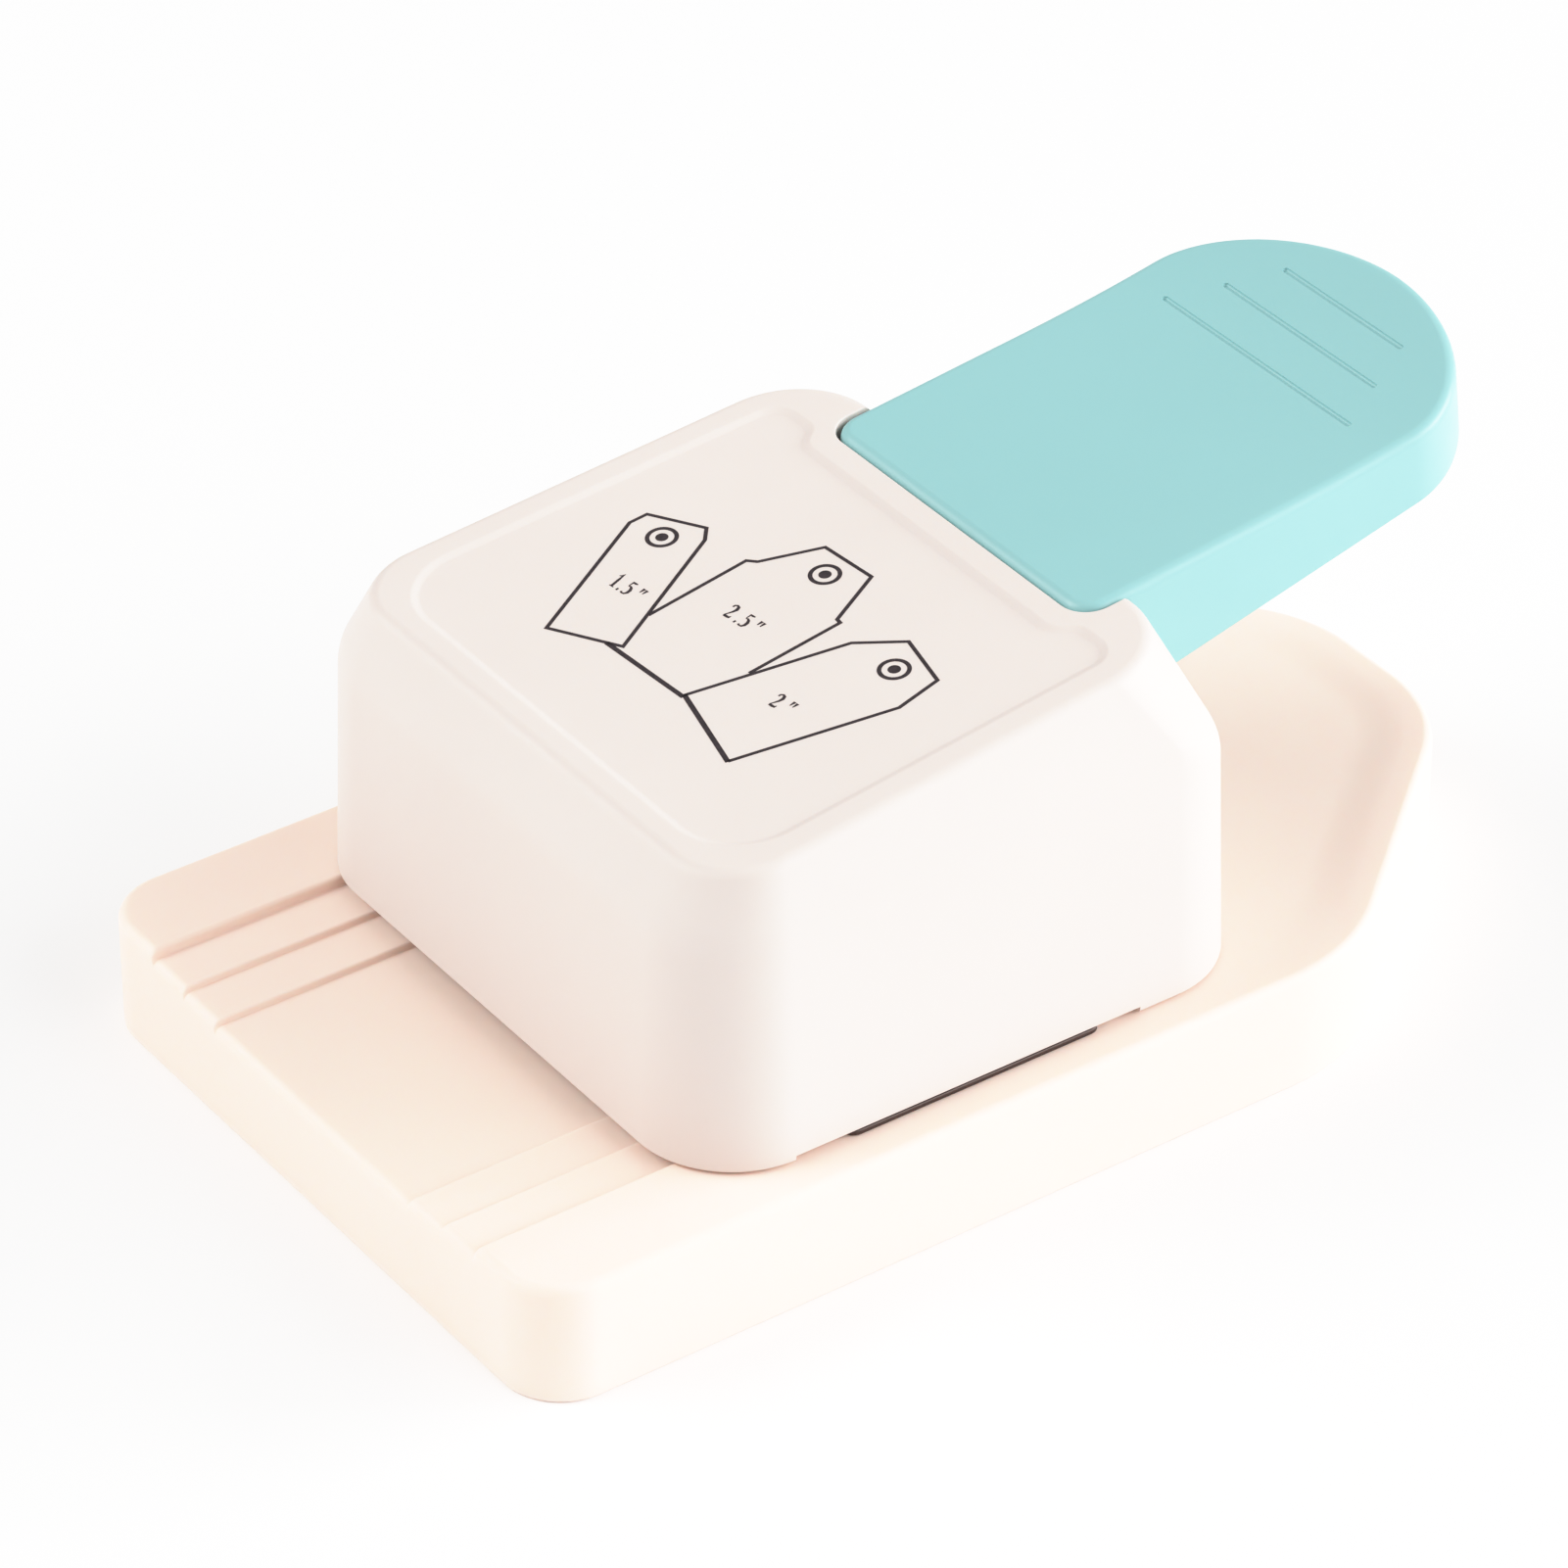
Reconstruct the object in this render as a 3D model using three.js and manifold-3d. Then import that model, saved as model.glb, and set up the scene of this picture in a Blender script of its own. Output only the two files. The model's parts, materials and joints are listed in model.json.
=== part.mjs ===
// A three-size tag punch for paper strips: a base with stepped guides, a die set, a housing and a hand lever.
// Millimetres, +Z up. X runs across the punch, Y from the paper's entry at the front to the lever at the rear.
import * as THREE from "three";
import { mergeVertices } from "three/addons/utils/BufferGeometryUtils.js";
import Module from "manifold-3d";

const wasm = await Module();
wasm.setup();

// Driving dimensions

const gap = 0.3; // seating clearance between two pieces
const slip = 0.3; // running clearance round pins, posts and cutters
const over = 2; // overrun of every cut
const degree = Math.PI / 180;

const smooth = { corner: 7, tip: 3, round: 20, small: 14, hub: 16, side: 6, nose: 14 }; // arc steps

// The strips that the guides take are 2.5, 2 and 1.5 inches wide.
const guides = { wide: 63.5, middle: 50.8, narrow: 38.1, depths: [1.2, 0.7, 0.7] };

const base = {
  ledge: 4.6,
  length: 145.4,
  height: 15,
  taperStart: 108,
  noseHalf: 13,
  frontRadius: 7.5,
  shoulderRadius: 25,
  noseRadius: 19,
  edge: 1.1,
  footEdge: 0.5,
  wall: 2.5,
  rib: 1.6,
  ribDepth: 3,
  boss: 4.2,
  bossFoot: 2,
};
const dish = { front: 101.5, depth: 2.6, lip: 1.5, slope: 3.3, frontSlope: 5 };

// The tag's top: its line across the strip, the shoulders where its slanted corners end, how much the cutters
// take there, and the hole's distance from the line.
const tag = {
  overlap: 0.25,
  line: 74.5,
  topHalf: 15,
  foot: 2.84,
  shoulder: 45.6,
  back: 76,
  holeRadius: 2.9,
  holeDrop: 12.8,
};
const plate = { thick: 2, margin: 1.1, frontMargin: 2.6, backMargin: 7.3 };
const stripper = { thick: 1.2, recess: 1.1, frontMargin: 3.1, corner: 1.5 };

const frame = { thick: 1.5, play: 0.4, reach: 6.1, bend: 2, legFront: 50, legBack: 68, neckRise: 4, relief: 1.5 };
const chute = { margin: 0.5, hole: 4.6 };

const pivot = { ahead: 9.6, rise: 22, radius: 2.5, hub: 6.5, groove: 1.9, end: 0.25, clip: 0.5, clipRadius: 4 };
const bush = { wall: 1.2, collar: 5, collarThick: 1 };

const press = { y: 60.5, radius: 3, reach: 0.6 };

const carrier = { rise: 7, thick: 4.5, margin: 0.7, corner: 3 };
const pedestal = { halfWidth: 9.9, halfLength: 7.6, rim: 0.8, wall: 1.2 };
const pad = { thick: 1.2 };
const cutter = { rise: 0.75 };
const punchHead = { radius: 4.2, thick: 2.3 };

const post = { inset: 4.66, radius: 2, collar: 3.4, collarThick: 1, drop: 0.2 };
const tower = { radius: 5.3, drop: 0.7, bore: 4.3, roof: 1.6 };
const spring = { radius: 3.2, wire: 1, turns: 5, steps: 10, sides: 6 };

const housing = {
  side: 4.7,
  ahead: 21.9,
  behind: 22.2,
  corner: 12,
  draft: 0.95,
  wall: 2,
  roof: 2.2,
  notchDrop: 6,
};
// The line where the sloped band starts: how far it lies below the top's front edge in front, at the crest beside
// the notch and at the rear.
const shoulder = { front: 6.8, crest: 3.4, rear: 8.1, crestY: 83 };
const crown = {
  insetFront: 3.8,
  insetBack: 5.6,
  frontIn: 4.7,
  backIn: 8,
  frontRadius: 8.5,
  backRadius: 10.5,
  overPin: 13.4,
  slope: 5.94,
  edge: 0.7,
};
const panel = {
  insetFront: 3.8,
  insetBack: 3.5,
  frontIn: 3.4,
  backIn: 7,
  notchMargin: 3.8,
  notchInset: 0.8,
  lobe: 2.1,
  radius: 8,
  backRadius: 3,
  lobeRadius: 1.9,
  depth: 0.35,
};
const sideSlot = { frontMargin: 7, backMargin: 5, height: 0.6, depth: 2.6 };
const stopRib = { x: 5, thick: 2, front: 72, back: 78 };
// The front and rear screw bosses in the housing's corners: how far they stand in from its side and end.
const cornerBoss = {
  radius: 3.4,
  frontSideIn: 5.3,
  frontIn: 8.7,
  frontRise: 11,
  rearSideIn: 5.9,
  rearIn: 8.4,
  rearRise: 15,
};

// The lever's top is flat at first and then curves up towards its nose, whose outline is a superellipse.
const lever = {
  sideIn: 16.4,
  front: 84.4,
  proud: 0.17,
  length: 62.5,
  tilt: 6.72,
  nose: 16.7,
  nosePower: 1.89,
  riseStart: 26.6,
  riseRadius: 248,
  frontRadius: 3.5,
  frontWall: 14.2,
  wallTaper: 0.126,
  edge: 1.3,
  wall: 2,
  skin: 2.4,
  fit: 0.4,
  boss: 3.4,
};
const grip = { first: 42, pitch: 6.2, insets: [6.6, 9.8, 12.8], width: 1.1, depth: 0.5 };
const arm = { halfWidth: 12, thick: 1.5, standoff: 3, end: 38, endDepth: 3.2, rearDepth: 6.8, barDepth: 2.2 };

const coverScrew = { head: 3, headThick: 2, shank: 1.5, sink: 4, reach: 9 };
const frameScrew = { head: 2.7, headThick: 1.8, shank: 1.4, sideIn: 4.6, frontIn: 2.9, rearIn: 3.3, frontReach: 2.5 };
const cutterScrew = { head: 2.4, headThick: 1.8, shank: 1.3, reach: 4, shares: [0.34, 0.82] };
const leverScrew = { head: 2.6, headThick: 1.8, shank: 1.4, places: [9, 31], skinLeft: 1 };

// Widths, from the widest strip outwards

guides.widths = [guides.wide, guides.middle, guides.narrow];
tag.outer = guides.wide / 2 + tag.overlap;
tag.slant = (tag.outer - tag.foot - tag.topHalf) / (tag.line - tag.shoulder);
post.x = tag.topHalf + tag.slant * (tag.line - press.y) - post.inset;
plate.halfWidth = tag.outer + plate.margin;
frame.inside = plate.halfWidth + frame.play;
frame.halfWidth = frame.inside + frame.thick;
frameScrew.x = plate.halfWidth - frameScrew.sideIn;
housing.halfWidth = frame.halfWidth + housing.side;
stripper.wing = housing.halfWidth - stripper.recess;
lever.halfWidth = housing.halfWidth - lever.sideIn;
crown.halfFront = housing.halfWidth - crown.insetFront;
crown.halfBack = housing.halfWidth - crown.insetBack;
panel.halfFront = crown.halfFront - panel.insetFront;
panel.halfBack = crown.halfBack - panel.insetBack;
panel.notchHalf = lever.halfWidth - panel.notchInset;
cornerBoss.frontX = housing.halfWidth - cornerBoss.frontSideIn;
cornerBoss.rearX = housing.halfWidth - cornerBoss.rearSideIn;
base.halfWidth = housing.halfWidth + base.ledge;

// Heights and places that follow

const guideFloor = base.height - guides.depths.reduce((sum, depth) => sum + depth, 0);
const dieBottom = guideFloor - plate.thick;
const frameTop = dieBottom - gap;
const frameBottom = frameTop - frame.thick;
const ceiling = frameTop + gap;
const stripperBottom = base.height + gap;
const stripperTop = stripperBottom + stripper.thick;
const housingBottom = base.height + gap;
const holeY = tag.line - tag.holeDrop;
const holeBore = tag.holeRadius + slip;
const armHeight = -(lever.skin + arm.standoff + gap);
const crownSlope = Math.tan(crown.slope * degree);
const flangeInside = arm.halfWidth - arm.thick;

plate.front = tag.shoulder - plate.frontMargin;
plate.back = tag.back + plate.backMargin;
stripper.wingFront = tag.shoulder - stripper.frontMargin;
stripper.wingBack = tag.back;
sideSlot.front = stripper.wingFront - sideSlot.frontMargin;
sideSlot.back = stripper.wingBack + sideSlot.backMargin;
frame.front = plate.front - frame.reach;
pivot.y = tag.shoulder - pivot.ahead;
housing.front = tag.shoulder - housing.ahead;
housing.back = tag.back + housing.behind;
crown.front = housing.front + crown.frontIn;
crown.back = housing.back - crown.backIn;
panel.front = crown.front + panel.frontIn;
panel.back = crown.back - panel.backIn;
cornerBoss.frontY = housing.front + cornerBoss.frontIn;
cornerBoss.rearY = housing.back - cornerBoss.rearIn;
frameScrew.frontY = frame.front + frameScrew.frontIn;
frameScrew.rearY = plate.back - frameScrew.rearIn;
panel.notchLine = lever.front - panel.notchMargin;

carrier.bottom = base.height + carrier.rise;
cutter.tip = base.height + cutter.rise;
frame.neck = base.height + frame.neckRise;
cornerBoss.frontTop = base.height + cornerBoss.frontRise;
cornerBoss.rearTop = base.height + cornerBoss.rearRise;
coverScrew.length = base.height + coverScrew.reach - coverScrew.sink;
pivot.z = base.height + pivot.rise;
pedestal.top = pivot.z - press.radius - gap - pad.thick - gap;
tower.top = pedestal.top - tower.drop;
post.top = tower.top - post.drop;
housing.notchFloor = pivot.z - housing.notchDrop;
crown.height = pivot.z + crown.overPin;
lever.height = crown.height + crownSlope * (lever.front - crown.front) + lever.proud;
const carrierTop = carrier.bottom + carrier.thick;

// Solids

function solid(geometry) {
  const plain = new THREE.BufferGeometry();
  const flat = geometry.index ? geometry.toNonIndexed() : geometry;
  plain.setAttribute("position", flat.getAttribute("position"));
  const merged = mergeVertices(plain, 1e-4);
  const triVerts = new Uint32Array(merged.index.array);
  const vertProperties = new Float32Array(merged.attributes.position.array);
  const build = () => new wasm.Manifold(new wasm.Mesh({ numProp: 3, vertProperties, triVerts }));
  const made = build();
  if (made.volume() > 0) return made;
  for (let i = 0; i < triVerts.length; i += 3) {
    [triVerts[i + 1], triVerts[i + 2]] = [triVerts[i + 2], triVerts[i + 1]];
  }
  return build();
}

const join = (first, ...rest) => rest.reduce((sum, next) => sum.add(next), first);
const cut = (first, ...rest) => rest.reduce((left, next) => left.subtract(next), first);
const placed = (geometry, x, y, z) => solid(geometry.translate(x, y, z));

function box(x0, x1, y0, y1, z0, z1) {
  const geometry = new THREE.BoxGeometry(x1 - x0, y1 - y0, z1 - z0);
  return placed(geometry, (x0 + x1) / 2, (y0 + y1) / 2, (z0 + z1) / 2);
}

function pole(radius, x, y, z0, z1, steps = smooth.round) {
  const geometry = new THREE.CylinderGeometry(radius, radius, z1 - z0, steps).rotateX(Math.PI / 2);
  return placed(geometry, x, y, (z0 + z1) / 2);
}

function rod(radius, x0, x1, y, z, steps = smooth.round) {
  const geometry = new THREE.CylinderGeometry(radius, radius, x1 - x0, steps).rotateZ(Math.PI / 2);
  return placed(geometry, (x0 + x1) / 2, y, z);
}

// An outline extruded upwards from z0 to z1.
function prism(points, z0, z1) {
  const geometry = new THREE.ExtrudeGeometry(new THREE.Shape(points), { depth: z1 - z0, bevelEnabled: false });
  return placed(geometry, 0, 0, z0);
}

// A side view, in (y, z), extruded across from x0 to x1.
function across(points, x0, x1) {
  const geometry = new THREE.ExtrudeGeometry(new THREE.Shape(points), { depth: x1 - x0, bevelEnabled: false });
  geometry.applyMatrix4(new THREE.Matrix4().makeBasis(
    new THREE.Vector3(0, 1, 0), new THREE.Vector3(0, 0, 1), new THREE.Vector3(1, 0, 0),
  ));
  return placed(geometry, x0, 0, 0);
}

// A profile of [radius, height] points turned about Z.
function turned(profile, x, y, z, steps = smooth.small) {
  const points = profile.map(([radius, height]) => new THREE.Vector2(radius, height));
  return placed(new THREE.LatheGeometry(points, steps).rotateX(Math.PI / 2), x, y, z);
}

// A rounded outline through corners [x, y, radius], anticlockwise, drawn in by inset.
function outline(corners, inset = 0, steps = smooth.corner) {
  const points = [];
  corners.forEach(([x, y, radius], i) => {
    const here = new THREE.Vector2(x, y);
    const before = new THREE.Vector2(...corners.at(i - 1).slice(0, 2));
    const after = new THREE.Vector2(...corners[(i + 1) % corners.length].slice(0, 2));
    const way = here.clone().sub(before).normalize();
    const next = after.sub(here).normalize();
    const left = new THREE.Vector2(-way.y, way.x);
    const leftNext = new THREE.Vector2(-next.y, next.x);
    const mitre = left.clone().add(leftNext).divideScalar(1 + left.dot(leftNext));
    const turn = Math.sign(way.cross(next)) || 1;
    const r = Math.max(radius - turn * inset, gap);
    const centre = here.clone().addScaledVector(mitre, inset + turn * r);
    const start = left.multiplyScalar(-turn).angle();
    const sweep = way.angleTo(next) * turn;
    for (let k = 0; k <= steps; k++) {
      const a = start + (sweep * k) / steps;
      points.push(new THREE.Vector2(centre.x + r * Math.cos(a), centre.y + r * Math.sin(a)));
    }
  });
  return points;
}

const rectangle = (halfWidth, front, back, radius, halfBack = halfWidth, backRadius = radius) => [
  [halfWidth, front, radius],
  [halfBack, back, backRadius],
  [-halfBack, back, backRadius],
  [-halfWidth, front, radius],
];

// Rings of 3-D points, from the lowest to the highest, skinned and closed at both ends. Each ring runs from the
// front right to the front left and mirrors itself, so straight lines across close it.
function loft(rings) {
  const count = rings[0].length;
  const points = rings.flat();
  const index = [];
  for (let r = 0; r + 1 < rings.length; r++) {
    for (let i = 0; i < count; i++) {
      const a = r * count + i;
      const b = r * count + ((i + 1) % count);
      index.push(a, b, b + count, a, b + count, a + count);
    }
  }
  const top = (rings.length - 1) * count;
  for (let i = 0, j = count - 1; j - i > 1; i++, j--) {
    index.push(j, i + 1, i, top + i, top + i + 1, top + j);
    if (j - i > 2) index.push(j, j - 1, i + 1, top + i + 1, top + j - 1, top + j);
  }
  return solid(new THREE.BufferGeometry().setFromPoints(points).setIndex(index));
}

const lift = (points, height) => points.map((p) => new THREE.Vector3(p.x, p.y, height(p.x, p.y)));

// Base tray

const baseCorners = [
  [base.halfWidth, 0, base.frontRadius],
  [base.halfWidth, base.taperStart, base.shoulderRadius],
  [base.noseHalf, base.length, base.noseRadius],
  [-base.noseHalf, base.length, base.noseRadius],
  [-base.halfWidth, base.taperStart, base.shoulderRadius],
  [-base.halfWidth, 0, base.frontRadius],
];

// A flat-topped body over the base outline whose top edge is rounded.
function roundedSlab(corners, height, edge, foot) {
  const rings = [
    lift(outline(corners, foot), () => 0),
    lift(outline(corners), () => foot),
  ];
  for (const angle of [0, 30, 60, 90]) {
    const a = angle * degree;
    rings.push(lift(outline(corners, edge * (1 - Math.cos(a))), () => height - edge * (1 - Math.sin(a))));
  }
  return loft(rings);
}

const coverPlaces = [
  [-1, cornerBoss.frontX, cornerBoss.frontY, cornerBoss.frontTop],
  [1, cornerBoss.frontX, cornerBoss.frontY, cornerBoss.frontTop],
  [-1, cornerBoss.rearX, cornerBoss.rearY, cornerBoss.rearTop],
  [1, cornerBoss.rearX, cornerBoss.rearY, cornerBoss.rearTop],
].map(([side, x, y, top]) => ({ x: side * x, y, top }));

function guideSteps() {
  let level = base.height;
  return guides.widths.map((width, i) => {
    level -= guides.depths[i];
    return box(-width / 2, width / 2, -over, plate.front, level, base.height + over);
  });
}

// A shallow dish behind the housing, with sloped walls inside the rim.
function dishHollow() {
  const floor = base.height - dish.depth;
  const ring = (inset, height) => lift(outline(baseCorners, inset), () => height);
  const bowl = loft([
    ring(dish.lip + dish.slope, floor),
    ring(dish.lip - (dish.slope / dish.depth) * over, base.height + over),
  ]);
  const run = dish.frontSlope / dish.depth;
  const behind = across([
    new THREE.Vector2(dish.front - run * over * 2, base.height + over * 2),
    new THREE.Vector2(dish.front + run * (dish.depth + over), floor - over),
    new THREE.Vector2(base.length + over, floor - over),
    new THREE.Vector2(base.length + over, base.height + over * 2),
  ], -base.halfWidth - over, base.halfWidth + over);
  return bowl.intersect(behind);
}

function underside() {
  const room = prism(outline(baseCorners, base.wall), -over, ceiling);
  const rearStart = plate.back + gap;
  const frontEnd = frame.front - gap;
  const underDish = dish.front + dish.slope + base.wall;
  const rib = (x0, x1, y0, y1) => box(x0, x1, y0, y1, ceiling - base.ribDepth, ceiling + over);
  const half = base.rib / 2;
  const share = base.halfWidth / 2;
  const ribs = [
    ...[-share, 0, share].map((x) => rib(x - half, x + half, rearStart, base.length)),
    ...[-share, 0, share].map((x) => rib(x - half, x + half, 0, frontEnd)),
    rib(-base.halfWidth, base.halfWidth, rearStart, rearStart + base.rib),
    rib(-base.halfWidth, base.halfWidth, underDish, underDish + base.rib),
    rib(-base.halfWidth, base.halfWidth, frontEnd - base.rib, frontEnd),
    rib(-base.halfWidth, base.halfWidth, frontEnd / 2 - half, frontEnd / 2 + half),
  ];
  const bosses = coverPlaces.map(({ x, y }) => pole(base.boss, x, y, base.bossFoot, base.height));
  return cut(room, ...ribs, ...bosses);
}

function baseTray() {
  const body = roundedSlab(baseCorners, base.height, base.edge, base.footEdge);
  const window = box(
    -plate.halfWidth - gap, plate.halfWidth + gap, plate.front - gap, plate.back + gap, frameBottom, base.height + over,
  );
  const earSlots = [-1, 1].map((side) => {
    const inner = side * (frame.inside - gap);
    const outer = side * (frame.halfWidth + gap);
    return box(
      Math.min(inner, outer), Math.max(inner, outer), frame.legFront - gap, frame.legBack + gap, 0, base.height + over,
    );
  });
  const coverHoles = coverPlaces.flatMap(({ x, y }) => [
    pole(coverScrew.shank + slip, x, y, -over, base.height + over, smooth.small),
    pole(coverScrew.head + slip, x, y, -over, coverScrew.sink),
  ]);
  const frameHoles = [-1, 1].map((side) => pole(
    frameScrew.shank + slip, side * frameScrew.x, frameScrew.frontY, frameBottom,
    dieBottom + frameScrew.frontReach + slip, smooth.small,
  ));
  return cut(body, underside(), ...guideSteps(), dishHollow(), window, ...earSlots, ...coverHoles, ...frameHoles);
}

// Die set

function tagCorner(side, margin, z0, z1) {
  const topX = tag.topHalf - tag.slant * (tag.back - tag.line);
  const lowX = tag.topHalf + tag.slant * (tag.line - tag.shoulder);
  const corners = [
    [lowX, tag.shoulder, gap],
    [tag.outer, tag.shoulder, gap],
    [tag.outer, tag.back, gap],
    [topX, tag.back, gap],
  ];
  const points = outline(corners, -margin, smooth.tip).map((p) => new THREE.Vector2(side * p.x, p.y));
  return prism(side > 0 ? points : points.reverse(), z0, z1);
}

const tagOpenings = (margin, z0, z1) => [
  tagCorner(-1, margin, z0, z1),
  tagCorner(1, margin, z0, z1),
];

const rearFrameHoles = () => [-1, 1].map((side) => pole(
  frameScrew.shank + slip, side * frameScrew.x, frameScrew.rearY, 0, carrier.bottom, smooth.small,
));

function diePlate() {
  const blank = box(-plate.halfWidth, plate.halfWidth, plate.front, plate.back, dieBottom, guideFloor);
  return cut(
    blank,
    ...tagOpenings(slip, 0, base.height),
    pole(holeBore, 0, holeY, 0, base.height),
    ...rearFrameHoles(),
  );
}

function stripperPlate() {
  const wings = outline(rectangle(stripper.wing, stripper.wingFront, stripper.wingBack, stripper.corner), 0, 2);
  const blank = join(
    prism(wings, stripperBottom, stripperTop),
    box(-plate.halfWidth, plate.halfWidth, tag.line, plate.back, stripperBottom, stripperTop),
  );
  const earSlots = [-1, 1].map((side) => box(
    side * (frame.inside + frame.thick / 2) - frame.thick / 2 - gap,
    side * (frame.inside + frame.thick / 2) + frame.thick / 2 + gap,
    frame.legFront - gap, frame.legBack + gap, 0, carrier.bottom,
  ));
  const postHoles = [-1, 1].map((side) => pole(post.radius + slip, side * post.x, press.y, 0, carrier.bottom));
  return cut(
    blank,
    ...tagOpenings(slip, 0, carrier.bottom),
    pole(holeBore, 0, holeY, 0, carrier.bottom),
    ...earSlots,
    ...postHoles,
    ...rearFrameHoles(),
  );
}

function paperStop() {
  const noseHalf = tag.topHalf - tag.slant * (tag.back - tag.line) - slip - gap;
  const z0 = guideFloor + gap;
  const bar = box(-plate.halfWidth, plate.halfWidth, tag.back + slip + gap, plate.back, z0, base.height);
  const nose = box(-noseHalf, noseHalf, tag.line, plate.back, z0, base.height);
  return cut(join(bar, nose), ...rearFrameHoles());
}

// Steel frame: a floor below the die plate and two bent-up ears that lean forward to the pivot.

function frameEars() {
  const { inside } = frame;
  const top = pivot.z + pivot.hub + over;
  const corners = [
    [-frame.halfWidth, frameBottom, frame.bend],
    [frame.halfWidth, frameBottom, frame.bend],
    [frame.halfWidth, top, gap],
    [inside, top, gap],
    [inside, frameTop, frame.bend - frame.thick],
    [-inside, frameTop, frame.bend - frame.thick],
    [-inside, top, gap],
    [-frame.halfWidth, top, gap],
  ];
  const shape = new THREE.Shape(outline(corners, 0, 3));
  const geometry = new THREE.ExtrudeGeometry(shape, { depth: plate.back - frame.front, bevelEnabled: false });
  return placed(geometry.rotateX(Math.PI / 2), 0, plate.back, 0).intersect(earSide());
}

function hubArc(centre, radius, from, to, steps) {
  const points = [];
  for (let k = 0; k <= steps; k++) {
    const a = (from + ((to - from) * k) / steps) * degree;
    points.push(new THREE.Vector2(centre.x + radius * Math.cos(a), centre.y + radius * Math.sin(a)));
  }
  return points;
}

// An arc round a hub, anticlockwise, that the lines from the point before and to the point after touch.
function tangentArc(centre, radius, before, after) {
  const bearing = (point, side) => {
    const way = point.clone().sub(centre);
    return way.angle() + side * Math.acos(radius / way.length());
  };
  const from = bearing(before, 1) / degree;
  const sweep = THREE.MathUtils.euclideanModulo(bearing(after, -1) / degree - from, 360);
  return hubArc(centre, radius, from, from + sweep, smooth.hub);
}

function earSide() {
  const hub = new THREE.Vector2(pivot.y, pivot.z);
  const frontNeck = new THREE.Vector2(frame.legFront, frame.neck);
  const backNeck = new THREE.Vector2(frame.legBack, frame.neck);
  const points = [
    new THREE.Vector2(frame.legFront, frameBottom - over),
    new THREE.Vector2(frame.legBack, frameBottom - over),
    backNeck,
    ...tangentArc(hub, pivot.hub, backNeck, frontNeck),
    frontNeck,
  ];
  return across(points, -frame.halfWidth - over, frame.halfWidth + over);
}

function uFrame() {
  const frontHoles = [-1, 1].map((side) => pole(
    frameScrew.shank + slip, side * frameScrew.x, frameScrew.frontY, 0, base.height, smooth.small,
  ));
  const floor = box(-frame.halfWidth, frame.halfWidth, frame.front, plate.back, frameBottom, frameTop);
  const reliefs = [-1, 1].map((side) => box(
    ...[side * (frame.halfWidth - frame.bend), side * (frame.halfWidth + over)].sort((a, b) => a - b),
    frame.legFront - frame.relief, frame.legBack + frame.relief, 0, base.height,
  ));
  return cut(
    join(cut(floor, ...reliefs), frameEars()),
    ...tagOpenings(chute.margin, 0, base.height),
    pole(chute.hole, 0, holeY, 0, base.height),
    rod(pivot.radius + slip, -frame.halfWidth - over, frame.halfWidth + over, pivot.y, pivot.z),
    ...frontHoles,
    ...rearFrameHoles(),
  );
}

const clipInside = frame.halfWidth + gap;
const clipOutside = clipInside + pivot.clip;
const pinReach = clipOutside + gap + pivot.end;

function pivotPin() {
  const grooves = [-1, 1].map((side) => {
    const band = [side * (clipInside - gap), side * (clipOutside + gap)].sort((a, b) => a - b);
    return cut(
      rod(pivot.radius + over, ...band, pivot.y, pivot.z),
      rod(pivot.groove, ...band, pivot.y, pivot.z),
    );
  });
  return cut(rod(pivot.radius, -pinReach, pinReach, pivot.y, pivot.z), ...grooves);
}

function pinClip(side) {
  const band = [side * clipInside, side * clipOutside].sort((a, b) => a - b);
  const mouth = pivot.groove;
  return cut(
    rod(pivot.clipRadius, ...band, pivot.y, pivot.z),
    rod(pivot.groove + slip, band[0] - over, band[1] + over, pivot.y, pivot.z),
    box(
      band[0] - over, band[1] + over, pivot.y - mouth, pivot.y + mouth, pivot.z - pivot.clipRadius - over, pivot.z,
    ),
  );
}

// Tubes on the pin; x0 is the end nearer the middle.
function sleeve(side, x0, x1, outer, inner) {
  const band = side > 0 ? [x0, x1] : [-x1, -x0];
  return cut(
    rod(outer, ...band, pivot.y, pivot.z),
    rod(inner, band[0] - over, band[1] + over, pivot.y, pivot.z),
  );
}

const pinBore = pivot.radius + slip;
const bushRadius = pinBore + bush.wall;
const collarEnd = arm.halfWidth + gap + bush.collarThick;

const pinSpacer = (side) => sleeve(side, collarEnd + gap, frame.inside - gap, bushRadius, pinBore);

const pivotBush = (side) => join(
  sleeve(side, flangeInside - gap, collarEnd, bushRadius, pinBore),
  sleeve(side, arm.halfWidth + gap, collarEnd, bush.collar, pinBore),
);

// Punch block

const springSeat = stripperTop + gap + post.collarThick + gap;
const springTop = tower.top - tower.roof - gap;

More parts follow.
